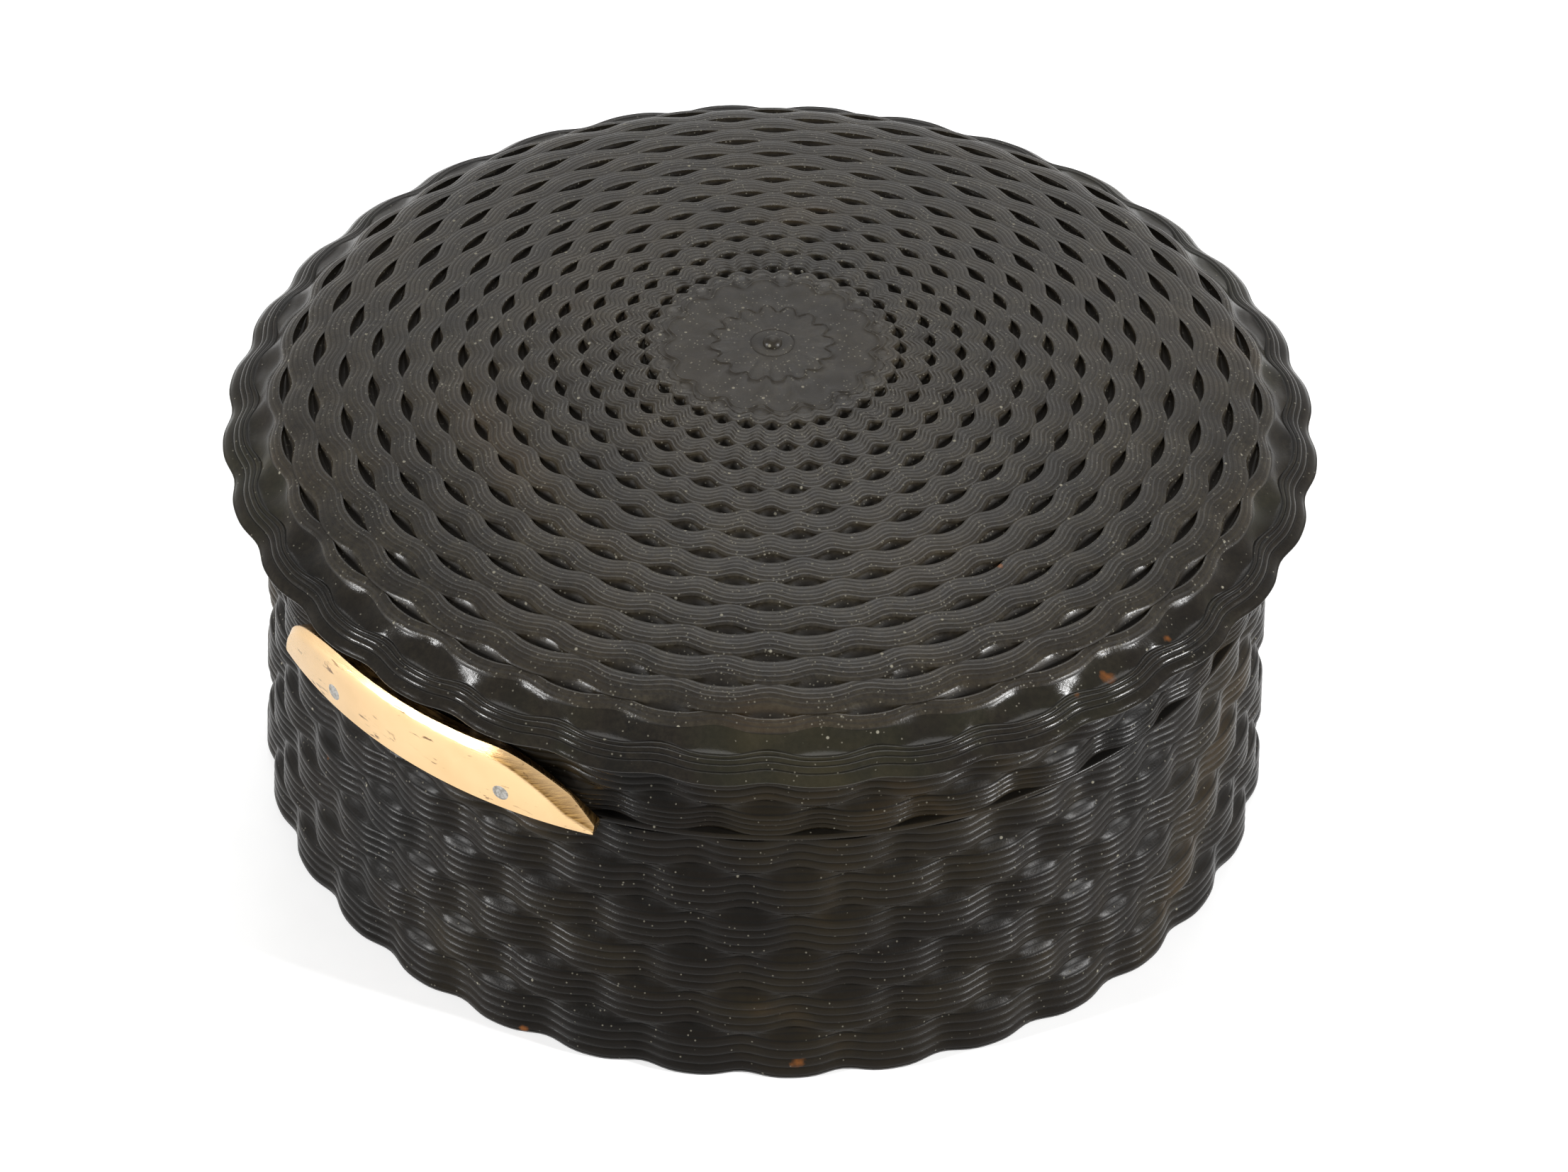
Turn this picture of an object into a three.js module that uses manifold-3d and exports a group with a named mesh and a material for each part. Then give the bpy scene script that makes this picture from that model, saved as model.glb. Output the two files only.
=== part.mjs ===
// Round tortoiseshell snuff box, turned on a rose engine, with a hinged lid.
// Millimetres, +Z up. The base stands on z = 0 with the box axis on Z.
// The thumb-piece is on the -Y side and the hinge on the +Y side.
import * as THREE from 'three';
import Module from 'manifold-3d';
import { mergeVertices } from 'three/addons/utils/BufferGeometryUtils.js';

const wasm = await Module();
wasm.setup();

// Box body
const bodyHeight = 22.65;
const wallTopRadius = 37.3;
const wallFlare = 1;
const wallThickness = 3.5;
const bodyBands = 6;
const baseThickness = 2;
const baseChamfer = 0.4;
const bezelThickness = 0.9;
const bezelDepth = 7.5;
const bezelRise = 2.1;

// Lid
const skirtProud = 0.2;
const skirtHeight = 7.2;
const skirtFootHeight = 0.55;
const skirtUpperBandHeight = 3.9;
const rimOverhang = 2.8;
const rimLip = 0.5;
const rimFascia = 0.9;
const rimFasciaLean = 0.2;
const rimSwing = 0.28;
const beadPitch = 0.5;
const beadDrop = 0.3;
const beadCount = 3;
const coveWidth = 1.55;
const coveRise = 0.65;
const coveDepth = 0.25;
const crownRise = 4.5;
const shoulderFall = 0.8;
const shoulderTightness = 24;
const lidThickness = 2.3;

// Rose-engine pattern: waves round the box, shared by rim, weave and bands
const waveCount = 32;
const waveSwing = 0.33;
const waveSharpness = 0.18;
const lidPatternTurn = THREE.MathUtils.degToRad(0.8);
const bodyPatternTurn = THREE.MathUtils.degToRad(4.3);
const bandGroove = 0.9;
const weaveRings = 13;
const weaveSwing = 0.42;
const hollowDepth = 0.42;

// Rosette in the middle of the lid
const petalCount = 16;
const petalSwing = 0.4;
const petalRelief = 0.14;
const rosetteRadius = 7.7;
const rosetteMargin = 0.7;
const innerRingRadius = 4.3;
const studFlatRadius = 1.6;
const studRadius = 0.7;
const studHeight = 0.5;

// Thumb-piece and its two pins
const thumbLength = 30.6;
const thumbHeight = 5.1;
const thumbThickness = 1.5;
const thumbBevel = 1.1;
const thumbEndRun = 8;
const thumbTipHeight = 0.7;
const thumbPinRadius = 0.7;
const thumbPinSpacing = 16.3;
const thumbPinHeight = 1.5;
const thumbPinDepth = 1.4;

// Hinge
const leafWidth = 18;
const leafHeight = 5.4;
const leafThickness = 0.7;
const leafSeatInset = 2.1;
const knuckleRadius = 1.2;
const knuckleCount = 5;
const knuckleGap = 0.25;
const hingePinRadius = 0.45;
const rivetRadius = 0.45;
const rivetHeadRadius = 0.8;
const rivetHeadHeight = 0.3;
const rivetDepth = 0.8;
const rivetsPerLeaf = 3;
const rivetEdge = 2.6;

// Clearances
const seamGap = 0.3;
const ringClearance = 0.1;
const lidClearance = 0.5;
const seatClearance = 0.1;
const pinClearance = 0.08;
const recessClearance = 0.15;
const knuckleClearance = 0.2;

// Worked-out places
const wallBaseRadius = wallTopRadius + wallFlare;
const boreRadius = wallTopRadius - wallThickness;
const lidBase = bodyHeight + seamGap;
const skirtRadius = wallTopRadius + skirtProud;
const skirtInnerRadius = boreRadius - ringClearance + lidClearance;
const rimRadius = skirtRadius + rimOverhang;
const rimFoot = lidBase + skirtHeight;
const rimEdge = rimFoot + rimLip;
const beadOuterRadius = rimRadius - rimFasciaLean;
const beadInnerRadius = beadOuterRadius - beadPitch * (beadCount - 1);
const beadFoot = rimEdge + rimFascia;
const beadTop = beadFoot + beadDrop * (beadCount - 1);
const crownRadius = beadInnerRadius - coveWidth - weaveSwing;
const crownEdge = beadTop + coveRise;
const weavePitch = (crownRadius - rosetteRadius - rosetteMargin) / weaveRings;
const leafSeat = wallTopRadius - leafSeatInset;
const leafBack = leafSeat + seatClearance;
const hingeY = leafBack + knuckleRadius;
const hingeZ = bodyHeight + seamGap / 2;
const thumbBack = skirtRadius + waveSwing + seatClearance;
const thumbFace = thumbBack + thumbThickness;
const thumbBase = lidBase + seatClearance;
const wallPoints = waveCount * 4;
const crownPoints = waveCount * 2;
const plainPoints = 48;
const pinPoints = 16;
const rivetPoints = 12;

const tortoiseshell = { color: 0x2a211c, roughness: 0.32, metalness: 0 };
const gold = { color: 0xdcbb84, roughness: 0.24, metalness: 1 };
const steel = { color: 0x8d8b88, roughness: 0.35, metalness: 1 };

// Solids and meshes

function toSolid(geometry) {
  const bare = geometry.clone();
  bare.deleteAttribute('normal');
  bare.deleteAttribute('uv');
  const merged = mergeVertices(bare, 1e-5);
  const corners = merged.index.array;
  const kept = [];
  for (let i = 0; i < corners.length; i += 3) {
    const [a, b, c] = [corners[i], corners[i + 1], corners[i + 2]];
    if (a !== b && b !== c && c !== a) kept.push(a, b, c);
  }
  return new wasm.Manifold(new wasm.Mesh({
    numProp: 3,
    vertProperties: Float32Array.from(merged.attributes.position.array),
    triVerts: Uint32Array.from(kept),
  }));
}

function toGeometry(solid) {
  const mesh = solid.getMesh();
  const geometry = new THREE.BufferGeometry();
  geometry.setAttribute('position', new THREE.Float32BufferAttribute(mesh.vertProperties, 3));
  geometry.setIndex(Array.from(mesh.triVerts));
  geometry.computeVertexNormals();
  return geometry;
}

function cutAll(geometry, cutters) {
  let solid = toSolid(geometry);
  for (const cutter of cutters) solid = solid.subtract(toSolid(cutter));
  return toGeometry(solid);
}

function joinAll(geometries) {
  let solid = toSolid(geometries[0]);
  for (const geometry of geometries.slice(1)) solid = solid.add(toSolid(geometry));
  return toGeometry(solid);
}

function piece(name, geometry, look) {
  const mesh = new THREE.Mesh(geometry, new THREE.MeshStandardMaterial(look));
  mesh.name = name;
  return mesh;
}

// Plain turned shape from [radius, height] points, anticlockwise in that plane
function turned(points, count = plainPoints) {
  const profile = points.map(([radius, height]) => new THREE.Vector2(radius, height));
  const geometry = new THREE.LatheGeometry(profile, count);
  geometry.rotateX(Math.PI / 2);
  return geometry;
}

function blockBetween(low, high) {
  const size = high.map((value, axis) => value - low[axis]);
  const middle = high.map((value, axis) => (value + low[axis]) / 2);
  return new THREE.BoxGeometry(...size).translate(...middle);
}

// Cylinder that points away from the box axis at the given angle
function radialPin(radius, from, to, angle, height) {
  const pin = new THREE.CylinderGeometry(radius, radius, to - from, pinPoints);
  pin.rotateZ(-Math.PI / 2);
  pin.translate((from + to) / 2, 0, 0);
  pin.rotateZ(angle);
  pin.translate(0, 0, height);
  return pin;
}

// Rose-engine turning

// One wave of the rosette: a broad crest and a sharper trough
function wave(phase) {
  return Math.cos(phase) - waveSharpness * Math.cos(2 * phase);
}

// A ring of points whose radius and height swing with the wave
function waveRing({ radius, height, swing = 0, lift = 0, lobes = waveCount, flip = 0,
  turn = lidPatternTurn, count = wallPoints }) {
  const ring = [];
  for (let i = 0; i < count; i += 1) {
    const angle = (i / count) * 2 * Math.PI;
    const swell = wave(lobes * angle + flip * Math.PI);
    const reach = radius + swing * swell;
    const level = height + lift * swell;
    ring.push([reach * Math.cos(angle + turn), reach * Math.sin(angle + turn), level]);
  }
  return ring;
}

// Twice the middle of two points, as a squared distance from the middle of the base
function reachOfPair(a, b) {
  return (a[0] + b[0]) ** 2 + (a[1] + b[1]) ** 2 + (a[2] + b[2]) ** 2;
}

// Equal rings: each four-sided patch is split along the diagonal that stands out further,
// which keeps the lens outlines of the weave crisp
function bridgeEqual(upper, lower, points, faces) {
  for (let i = 0; i < upper.count; i += 1) {
    const j = (i + 1) % upper.count;
    const [a, b, c, d] = [upper.start + i, upper.start + j, lower.start + i, lower.start + j];
    if (reachOfPair(points[a], points[d]) > reachOfPair(points[b], points[c])) {
      faces.push(a, c, d, a, d, b);
    } else {
      faces.push(a, c, b, b, c, d);
    }
  }
}

// A ring above another with several times its points: each coarse edge takes a fan
function bridgeFiner(upper, lower, faces) {
  const ratio = lower.count / upper.count;
  const middle = ratio / 2;
  for (let i = 0; i < upper.count; i += 1) {
    const here = upper.start + i;
    const next = upper.start + ((i + 1) % upper.count);
    for (let j = 0; j < ratio; j += 1) {
      const a = lower.start + i * ratio + j;
      const b = lower.start + ((i * ratio + j + 1) % lower.count);
      faces.push(a, b, j < middle ? here : next);
      if (j === middle - 1) faces.push(b, next, here);
    }
  }
}

// Solid of revolution through wavy rings, from the top middle down to the bottom middle
function rosetteTurned(rings, topHeight, bottomHeight) {
  const points = [[0, 0, topHeight]];
  const faces = [];
  let above = null;
  for (const ring of rings) {
    const here = { start: points.length, count: ring.length };
    points.push(...ring);
    if (!above) {
      for (let i = 0; i < ring.length; i += 1) {
        faces.push(0, here.start + i, here.start + ((i + 1) % ring.length));
      }
    } else if (above.count === here.count) {
      bridgeEqual(above, here, points, faces);
    } else {
      bridgeFiner(above, here, faces);
    }
    above = here;
  }
  const bottom = points.length;
  points.push([0, 0, bottomHeight]);
  for (let i = 0; i < above.count; i += 1) {
    faces.push(bottom, above.start + ((i + 1) % above.count), above.start + i);
  }
  const geometry = new THREE.BufferGeometry();
  geometry.setAttribute('position', new THREE.Float32BufferAttribute(points.flat(), 3));
  geometry.setIndex(faces);
  return geometry;
}

// Box body

function wallRadiusAt(height) {
  return wallBaseRadius - wallFlare * (height / bodyHeight);
}

// Bands of waves that change sides from one band to the next, as in a basket
function wallRings() {
  const rings = [];
  const bandHeight = bodyHeight / bodyBands;
  for (let band = 0; band < bodyBands; band += 1) {
    const top = bodyHeight - band * bandHeight;
    const bottom = top - bandHeight + (band < bodyBands - 1 ? bandGroove : 0);
    for (const height of [top, bottom]) {
      rings.push(waveRing({
        radius: wallRadiusAt(height), height, swing: waveSwing, flip: band % 2, turn: bodyPatternTurn,
      }));
    }
  }
  return rings;
}

function leafRecess(low, high) {
  const side = leafWidth / 2 + recessClearance;
  return blockBetween([-side, leafSeat, low], [side, rimRadius, high]);
}

function rivetPlaces() {
  const places = [];
  const span = leafWidth - 2 * rivetEdge;
  for (let i = 0; i < rivetsPerLeaf; i += 1) {
    places.push(-span / 2 + (span * i) / (rivetsPerLeaf - 1));
  }
  return places;
}

function rivetHeight(side) {
  return hingeZ + side * (knuckleRadius + (leafHeight - knuckleRadius) / 2);
}

function rivetHole(x, side) {
  const radius = rivetRadius + pinClearance;
  const back = leafSeat - rivetDepth - pinClearance;
  const front = leafBack + leafThickness + seatClearance;
  const hole = new THREE.CylinderGeometry(radius, radius, front - back, rivetPoints);
  return hole.translate(x, (front + back) / 2, rivetHeight(side));
}

function boxWall() {
  const outside = rosetteTurned(wallRings(), bodyHeight, 0);
  const bore = turned([[0, -1], [boreRadius, -1], [boreRadius, lidBase], [0, lidBase]]);
  const cutters = [bore, leafRecess(hingeZ - leafHeight - recessClearance, lidBase)];
  for (const x of rivetPlaces()) cutters.push(rivetHole(x, -1));
  return piece('box_wall', cutAll(outside, cutters), tortoiseshell);
}

function boxBase() {
  const radius = boreRadius - ringClearance;
  return piece('box_base', turned([
    [0, 0], [radius - baseChamfer, 0], [radius, baseChamfer],
    [radius, baseThickness], [0, baseThickness],
  ]), tortoiseshell);
}

function boxBezel() {
  const outer = boreRadius - ringClearance;
  const inner = outer - bezelThickness;
  const foot = bodyHeight - bezelDepth;
  const top = bodyHeight + bezelRise;
  const lead = bezelThickness / 3;
  return piece('box_bezel', turned([
    [inner, foot], [outer, foot], [outer, top - lead], [outer - lead, top], [inner, top], [inner, foot],
  ]), tortoiseshell);
}

// Lid

// A shallow dome that turns down more sharply just before its edge
function crownHeight(radius) {
  const share = radius / crownRadius;
  return crownEdge + crownRise * (1 - share ** 2) + shoulderFall * (1 - share ** shoulderTightness);
}

function rosetteRings() {
  const petals = { lobes: petalCount, count: crownPoints };
  const valleyRadius = (innerRingRadius + rosetteRadius) / 2;
  const plain = (radius) => waveRing({ radius, height: crownHeight(radius), count: petalCount });
  return [
    plain(studRadius),
    plain(studFlatRadius),
    waveRing({ ...petals, radius: innerRingRadius, swing: petalSwing, lift: petalRelief,
      height: crownHeight(innerRingRadius) }),
    waveRing({ ...petals, radius: valleyRadius, lift: petalRelief, flip: 1,
      height: crownHeight(valleyRadius) - hollowDepth / 2 }),
    waveRing({ ...petals, radius: rosetteRadius, swing: petalSwing,
      height: crownHeight(rosetteRadius) }),
  ];
}

// Basket weave: ridges that bow to and fro, with a lens hollow wherever two bow apart
function weaveRingsOut() {
  const rings = [];
  for (let k = weaveRings - 1; k >= 0; k -= 1) {
    const ridge = crownRadius - k * weavePitch;
    const hollow = ridge - weavePitch / 2;
    const flip = (k + 1) % 2;
    rings.push(waveRing({
      radius: hollow, height: crownHeight(hollow) - hollowDepth / 2, lift: -hollowDepth / 2, flip,
      count: crownPoints,
    }));
    rings.push(waveRing({
      radius: ridge, height: crownHeight(ridge), swing: weaveSwing, flip, count: crownPoints,
    }));
  }
  return rings;
}

// Scooped cove, beads that step down to a smooth fascia, and the lip that overhangs the skirt
function rimRings() {
  const coveRadius = beadInnerRadius - coveWidth / 2;
  const coveHeight = (crownEdge + beadTop) / 2 - coveDepth;
  const rings = [waveRing({ radius: coveRadius, height: coveHeight, lift: -coveDepth })];
  for (let bead = 0; bead < beadCount; bead += 1) {
    rings.push(waveRing({
      radius: beadInnerRadius + bead * beadPitch, height: beadTop - bead * beadDrop, swing: rimSwing,
    }));
  }
  rings.push(waveRing({ radius: rimRadius, height: rimEdge, swing: rimSwing }));
  rings.push(waveRing({ radius: skirtRadius + rimLip, height: rimFoot, swing: rimSwing }));
  return rings;
}

function skirtRings() {
  const middle = rimFoot - skirtUpperBandHeight;
  const foot = lidBase + skirtFootHeight;
  const band = (height, flip) => waveRing({ radius: skirtRadius, height, swing: waveSwing, flip });
  return [
    band(rimFoot, 0),
    band(middle, 0),
    band(middle - bandGroove, 1),
    band(foot, 1),
    waveRing({ radius: skirtRadius, height: foot - bandGroove / 2 }),
    waveRing({ radius: skirtRadius, height: lidBase }),
  ];
}

function lidCavity() {
  const corner = lidThickness / 2;
  const steps = 6;
  const under = (radius) => crownHeight(radius) - lidThickness;
  const profile = [[0, bodyHeight], [skirtInnerRadius, bodyHeight]];
  profile.push([skirtInnerRadius, under(skirtInnerRadius) - corner]);
  for (let i = steps; i >= 0; i -= 1) {
    const radius = ((skirtInnerRadius - corner) * i) / steps;
    profile.push([radius, under(radius)]);
  }
  return turned(profile);
}

function thumbPinAngles() {
  const turn = thumbPinSpacing / 2 / thumbFace;
  return { thumb_pin_left: -Math.PI / 2 - turn, thumb_pin_right: -Math.PI / 2 + turn };
}

function thumbPinBack() {
  return skirtRadius - thumbPinDepth;
}

function thumbPinHole(angle) {
  const back = thumbPinBack() - pinClearance;
  return radialPin(thumbPinRadius + pinClearance, back, thumbFace + 1, angle, thumbBase + thumbPinHeight);
}

function lidCover() {
  const rings = [...rosetteRings(), ...weaveRingsOut(), ...rimRings(), ...skirtRings()];
  const outside = rosetteTurned(rings, crownHeight(0) + studHeight, lidBase);
  const cutters = [lidCavity(), leafRecess(bodyHeight, hingeZ + leafHeight + recessClearance)];
  for (const x of rivetPlaces()) cutters.push(rivetHole(x, 1));
  for (const angle of Object.values(thumbPinAngles())) cutters.push(thumbPinHole(angle));
  return piece('lid_cover', cutAll(outside, cutters), tortoiseshell);
}

// Thumb-piece

// Height of the upper edge along the bar: level in the middle, a rounded fall to each tip
function thumbTopAt(along) {
  const past = Math.max(0, Math.abs(along) - (thumbLength / 2 - thumbEndRun));
  const fall = 1 - Math.sqrt(Math.max(0, 1 - (past / thumbEndRun) ** 2));
  return thumbHeight - (thumbHeight - thumbTipHeight) * fall;
}

function thumbSection(along) {
  const top = thumbTopAt(along);
  const bevel = Math.min(thumbBevel, top / 2);
  const angle = -Math.PI / 2 + along / thumbFace;
  const corners = [
    [thumbBack, 0], [thumbFace, 0], [thumbFace, top - bevel], [thumbFace - bevel, top], [thumbBack, top],
  ];
  return corners.map(([radius, height]) => (
    [radius * Math.cos(angle), radius * Math.sin(angle), thumbBase + height]
  ));
}

function thumbBar() {
  const steps = 24;
  const sections = [];
  for (let i = 0; i <= steps; i += 1) {
    const share = -Math.cos((i / steps) * Math.PI);
    sections.push(thumbSection((share * thumbLength) / 2));
  }
  const size = sections[0].length;
  const faces = [];
  for (let i = 0; i < steps; i += 1) {
    for (let j = 0; j < size; j += 1) {
      const a = i * size + j;
      const b = i * size + ((j + 1) % size);
      faces.push(a, a + size, b, b, a + size, b + size);
    }
  }
  const last = steps * size;
  for (let j = 1; j < size - 1; j += 1) {
    faces.push(0, j, j + 1);
    faces.push(last, last + j + 1, last + j);
  }
  const geometry = new THREE.BufferGeometry();
  geometry.setAttribute('position', new THREE.Float32BufferAttribute(sections.flat(2), 3));
  geometry.setIndex(faces);
  return geometry;
}

function thumbPiece() {
  const holes = Object.values(thumbPinAngles()).map(thumbPinHole);
  return piece('thumb_piece', cutAll(thumbBar(), holes), gold);
}

function thumbPins() {
  return Object.entries(thumbPinAngles()).map(([name, angle]) => piece(
    name,
    radialPin(thumbPinRadius, thumbPinBack(), thumbFace, angle, thumbBase + thumbPinHeight),
    steel,
  ));
}

// Hinge, let into flats on the back of the wall and the skirt

function knuckleSpan(index) {
  const pitch = (leafWidth + knuckleGap) / knuckleCount;
  const start = -leafWidth / 2 + index * pitch;
  return [start, start + pitch - knuckleGap];
}

// Knuckle with the strip that ties it to its plate; side is -1 for the box, 1 for the lid
function knuckle(index, side) {
  const [start, end] = knuckleSpan(index);
  const outline = new THREE.Shape();
  outline.moveTo(0, -knuckleRadius);
  outline.absarc(0, 0, knuckleRadius, -Math.PI / 2, Math.PI, false);
  outline.lineTo(-knuckleRadius, -leafHeight / 2);
  outline.lineTo(-knuckleRadius + leafThickness, -leafHeight / 2);
  outline.lineTo(-knuckleRadius + leafThickness, -knuckleRadius);
  const eye = new THREE.Path();
  eye.absarc(0, 0, hingePinRadius + pinClearance, 0, 2 * Math.PI, true);
  outline.holes.push(eye);
  const body = new THREE.ExtrudeGeometry(outline, {
    depth: end - start, bevelEnabled: false, curveSegments: pinPoints,
  });
  body.applyMatrix4(new THREE.Matrix4().set(0, 0, 1, start, 1, 0, 0, hingeY, 0, 1, 0, hingeZ, 0, 0, 0, 1));
  if (side > 0) {
    body.translate(0, 0, -hingeZ);
    body.applyMatrix4(new THREE.Matrix4().makeRotationY(Math.PI));
    body.translate(start + end, 0, hingeZ);
  }
  return body;
}

function leafPlate(side) {
  const near = hingeZ + side * (knuckleRadius + knuckleClearance);
  const far = hingeZ + side * leafHeight;
  return blockBetween(
    [-leafWidth / 2, leafBack, Math.min(near, far)],
    [leafWidth / 2, leafBack + leafThickness, Math.max(near, far)],
  );
}

function hingeLeaf(name, side) {
  const parts = [leafPlate(side)];
  for (let i = side > 0 ? 1 : 0; i < knuckleCount; i += 2) parts.push(knuckle(i, side));
  const holes = rivetPlaces().map((x) => rivetHole(x, side));
  return piece(name, cutAll(joinAll(parts), holes), gold);
}

function hingePin() {
  const pin = new THREE.CylinderGeometry(hingePinRadius, hingePinRadius, leafWidth, pinPoints);
  pin.rotateZ(Math.PI / 2).translate(0, hingeY, hingeZ);
  return piece('hinge_pin', pin, steel);
}

function rivet(name, x, side) {
  const face = leafBack + leafThickness + seatClearance;
  const back = leafSeat - rivetDepth;
  const length = face - back;
  const body = turned([
    [0, 0], [rivetRadius, 0], [rivetRadius, length], [rivetHeadRadius, length],
    [rivetHeadRadius * 0.7, length + rivetHeadHeight * 0.8], [0, length + rivetHeadHeight],
  ], rivetPoints);
  body.rotateX(-Math.PI / 2).translate(x, back, rivetHeight(side));
  return piece(name, body, gold);
}

function rivets(prefix, side) {
  return rivetPlaces().map((x, i) => rivet(`${prefix}_${i + 1}`, x, side));
}

// The whole box

const box = new THREE.Group();
box.add(boxWall(), boxBase(), boxBezel());
box.add(hingeLeaf('hinge_leaf_box', -1), hingePin(), ...rivets('rivet_box', -1));

const lid = new THREE.Group();
lid.add(lidCover(), thumbPiece(), ...thumbPins());
lid.add(hingeLeaf('hinge_leaf_lid', 1), ...rivets('rivet_lid', 1));

const snuffBox = new THREE.Group();
snuffBox.add(box, lid);

export default snuffBox;
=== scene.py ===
import math

import bmesh
import bpy
from mathutils import Matrix, Vector


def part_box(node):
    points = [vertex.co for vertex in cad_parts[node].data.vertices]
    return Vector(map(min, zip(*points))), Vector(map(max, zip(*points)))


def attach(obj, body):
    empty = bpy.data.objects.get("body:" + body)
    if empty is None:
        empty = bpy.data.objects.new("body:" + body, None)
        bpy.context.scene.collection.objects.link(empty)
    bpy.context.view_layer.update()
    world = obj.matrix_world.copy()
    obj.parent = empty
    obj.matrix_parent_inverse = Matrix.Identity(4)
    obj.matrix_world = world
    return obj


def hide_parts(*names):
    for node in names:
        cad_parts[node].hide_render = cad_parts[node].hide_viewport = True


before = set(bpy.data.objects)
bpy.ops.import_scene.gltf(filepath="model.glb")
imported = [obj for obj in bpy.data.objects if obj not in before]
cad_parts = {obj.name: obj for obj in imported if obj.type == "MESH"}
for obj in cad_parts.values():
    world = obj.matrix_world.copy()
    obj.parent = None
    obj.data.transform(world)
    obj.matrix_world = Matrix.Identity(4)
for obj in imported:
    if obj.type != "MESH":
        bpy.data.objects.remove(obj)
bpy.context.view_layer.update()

MM = 0.001
# Points of a turned and of a plain piece that lie closer than this, in metres, become one
TURNED_MERGE = 2e-6
PLAIN_MERGE = 1e-6
# Edges sharper than this, in degrees, stay crisp on a turned piece
TURNED_CRISP = 38


def span(node, axis):
    """Lowest and highest place of a CAD node along an axis, in millimetres"""
    low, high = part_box(node)
    return low[axis] / MM, high[axis] / MM


# Rose engine: one rosette of 32 waves shapes the rim, the weave and the basket bands
WAVES = 32
PETALS = 16
SHARPNESS = 0.18
LID_TURN = math.radians(0.8)
BODY_TURN = math.radians(4.3)
POINTS_ROUND = WAVES * 14
PLAIN_POINTS = WAVES * 6

# Box body
BODY_HEIGHT = span("box_wall", 2)[1]
WALL_TOP = 37.3
WALL_BASE = 38.3
BORE = 33.8
BODY_BANDS = 6
BODY_LINES = 4
BODY_SWING = 0.33
BAND_STEP = 0.9
BAND_HOLLOW = 0.1
BAND_LINE = 0.08
BOARD_DEPTH = 0.17
# Down one line of a band: share of its height, how far out it stands, how much shade is painted on it
BOARD_SHAPE = (
    (0.0, 0.0, 1.0), (0.08, 0.28, 0.3), (0.22, 0.62, 0.0),
    (0.42, 0.9, 0.0), (0.68, 1.0, 0.0), (0.9, 0.68, 0.35),
)
# The same down the hollow between two bands, which holds two soft lines
BAND_HOLLOW_SHAPE = (
    (0.05, 0.1, 1.0), (0.2, 0.75, 0.5), (0.38, 1.0, 0.3),
    (0.5, 0.45, 0.9), (0.62, 0.8, 0.4), (0.85, 1.0, 0.2),
)
# Rounding under the foot: how far in, how high
BASE_EDGE = ((0.12, 0.42), (0.2, 0.2), (0.38, 0.06), (0.6, 0.0))
FOOT_INSET = 1.2
EDGE_CUT = 0.2
BASE_THICKNESS = 2.0
BASE_RINGS = 30
FIT_GAP = 0.1
LINING = 1.0

# Lid
SKIRT_FOOT = span("lid_cover", 2)[0]
SKIRT_RADIUS = 37.5
SKIRT_BORE = 34.2
RIM_FOOT = SKIRT_FOOT + 7.2
UPPER_BAND = 3.9
UPPER_LINES = 6
LOWER_LINES = 4
SKIRT_FILLET = 0.5
SKIRT_EDGE = 0.04
SKIRT_BEAD = 0.16
SKIRT_CUT = 0.25
SKIRT_SHELL = 0.9
CROWN_RADIUS = 37.13
CROWN_EDGE = RIM_FOOT + 2.65
CROWN_RISE = 4.5
SHOULDER_FALL = 0.8
SHOULDER_TIGHTNESS = 24
LID_THICKNESS = 2.3

# Weave on the crown
WEAVE_PITCH = 2.21
WEAVE_RINGS = 13
OUTER_RINGS = 7
STRAND_HALF = 0.97
STRAND_LINES = 5
STRAND_SWING = 0.3
STRAND_LIFT = -0.04
STRAND_BULGE = 0.1
LINE_STEPS = 3
LINE_DEPTH = 0.045
LINE_SHADE = 0.8
HOLLOW_DEPTH = 0.7
HOLLOW_SHARES = (0.12, 0.3, 0.5, 0.7, 0.88)
# Painted shade of a hollow, its share where the strands run level, and the gain where they bow apart
HOLLOW_SHADE = 0.95
HOLLOW_LEVEL = 0.3
HOLLOW_GAIN = 0.85
EDGE_STRAND_OUT = 37.1
EDGE_STRAND_LINES = 3

# Rim: a curve over the beads, a smooth fascia down to the lip, then the underside
COVE_OUT = 38.45
COVE_DEPTH = 0.3
COVE_SHARES = (0.06, 0.16, 0.28, 0.42, 0.56, 0.7, 0.82, 0.92)
BEAD_TOP = RIM_FOOT + 1.72
BEAD_CORNER = (39.15, RIM_FOOT + 1.62)
BEAD_FOOT = (39.62, RIM_FOOT + 1.05)
BEAD_SHARES = (0.0, 0.27, 0.62, 1.0)
BEAD_HEIGHTS = (0.08, 0.12, 0.1)
COVE_SWING = 0.4
RIM_SWING = 0.28
LIP_RADIUS = 40.3
LIP_HEIGHT = 0.5
LIP_FULLNESS = 0.05
# Rounding of the lip: how far out, how far down
LIP_ROUND = ((0.07, 0.06), (0.09, 0.12), (0.06, 0.19), (-0.05, 0.24))

# Rosette in the middle of the lid
STUD_RADIUS = 0.72
STUD_HEIGHT = 0.5
STUD_FLAT = 1.6
INNER_RING = 4.3
SCALLOP_RING = 7.6
PETAL_SWING = 0.4
INNER_SHARE = 0.85
ROSETTE_SHADE = 0.35
ROSETTE_GROOVE = 0.4
# Raised rings between grooves: how far out, how high, how much shade is painted on them
INNER_RIDGE = ((-0.16, -0.04, 0.5), (0.0, 0.03, 0.0), (0.16, -0.04, 0.5))
OUTER_RIDGES = (
    (-0.2, -0.06, 0.5), (0.0, 0.03, 0.0), (0.22, -0.04, 0.5), (0.42, 0.02, 0.0), (0.6, -0.05, 0.5),
)

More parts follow.
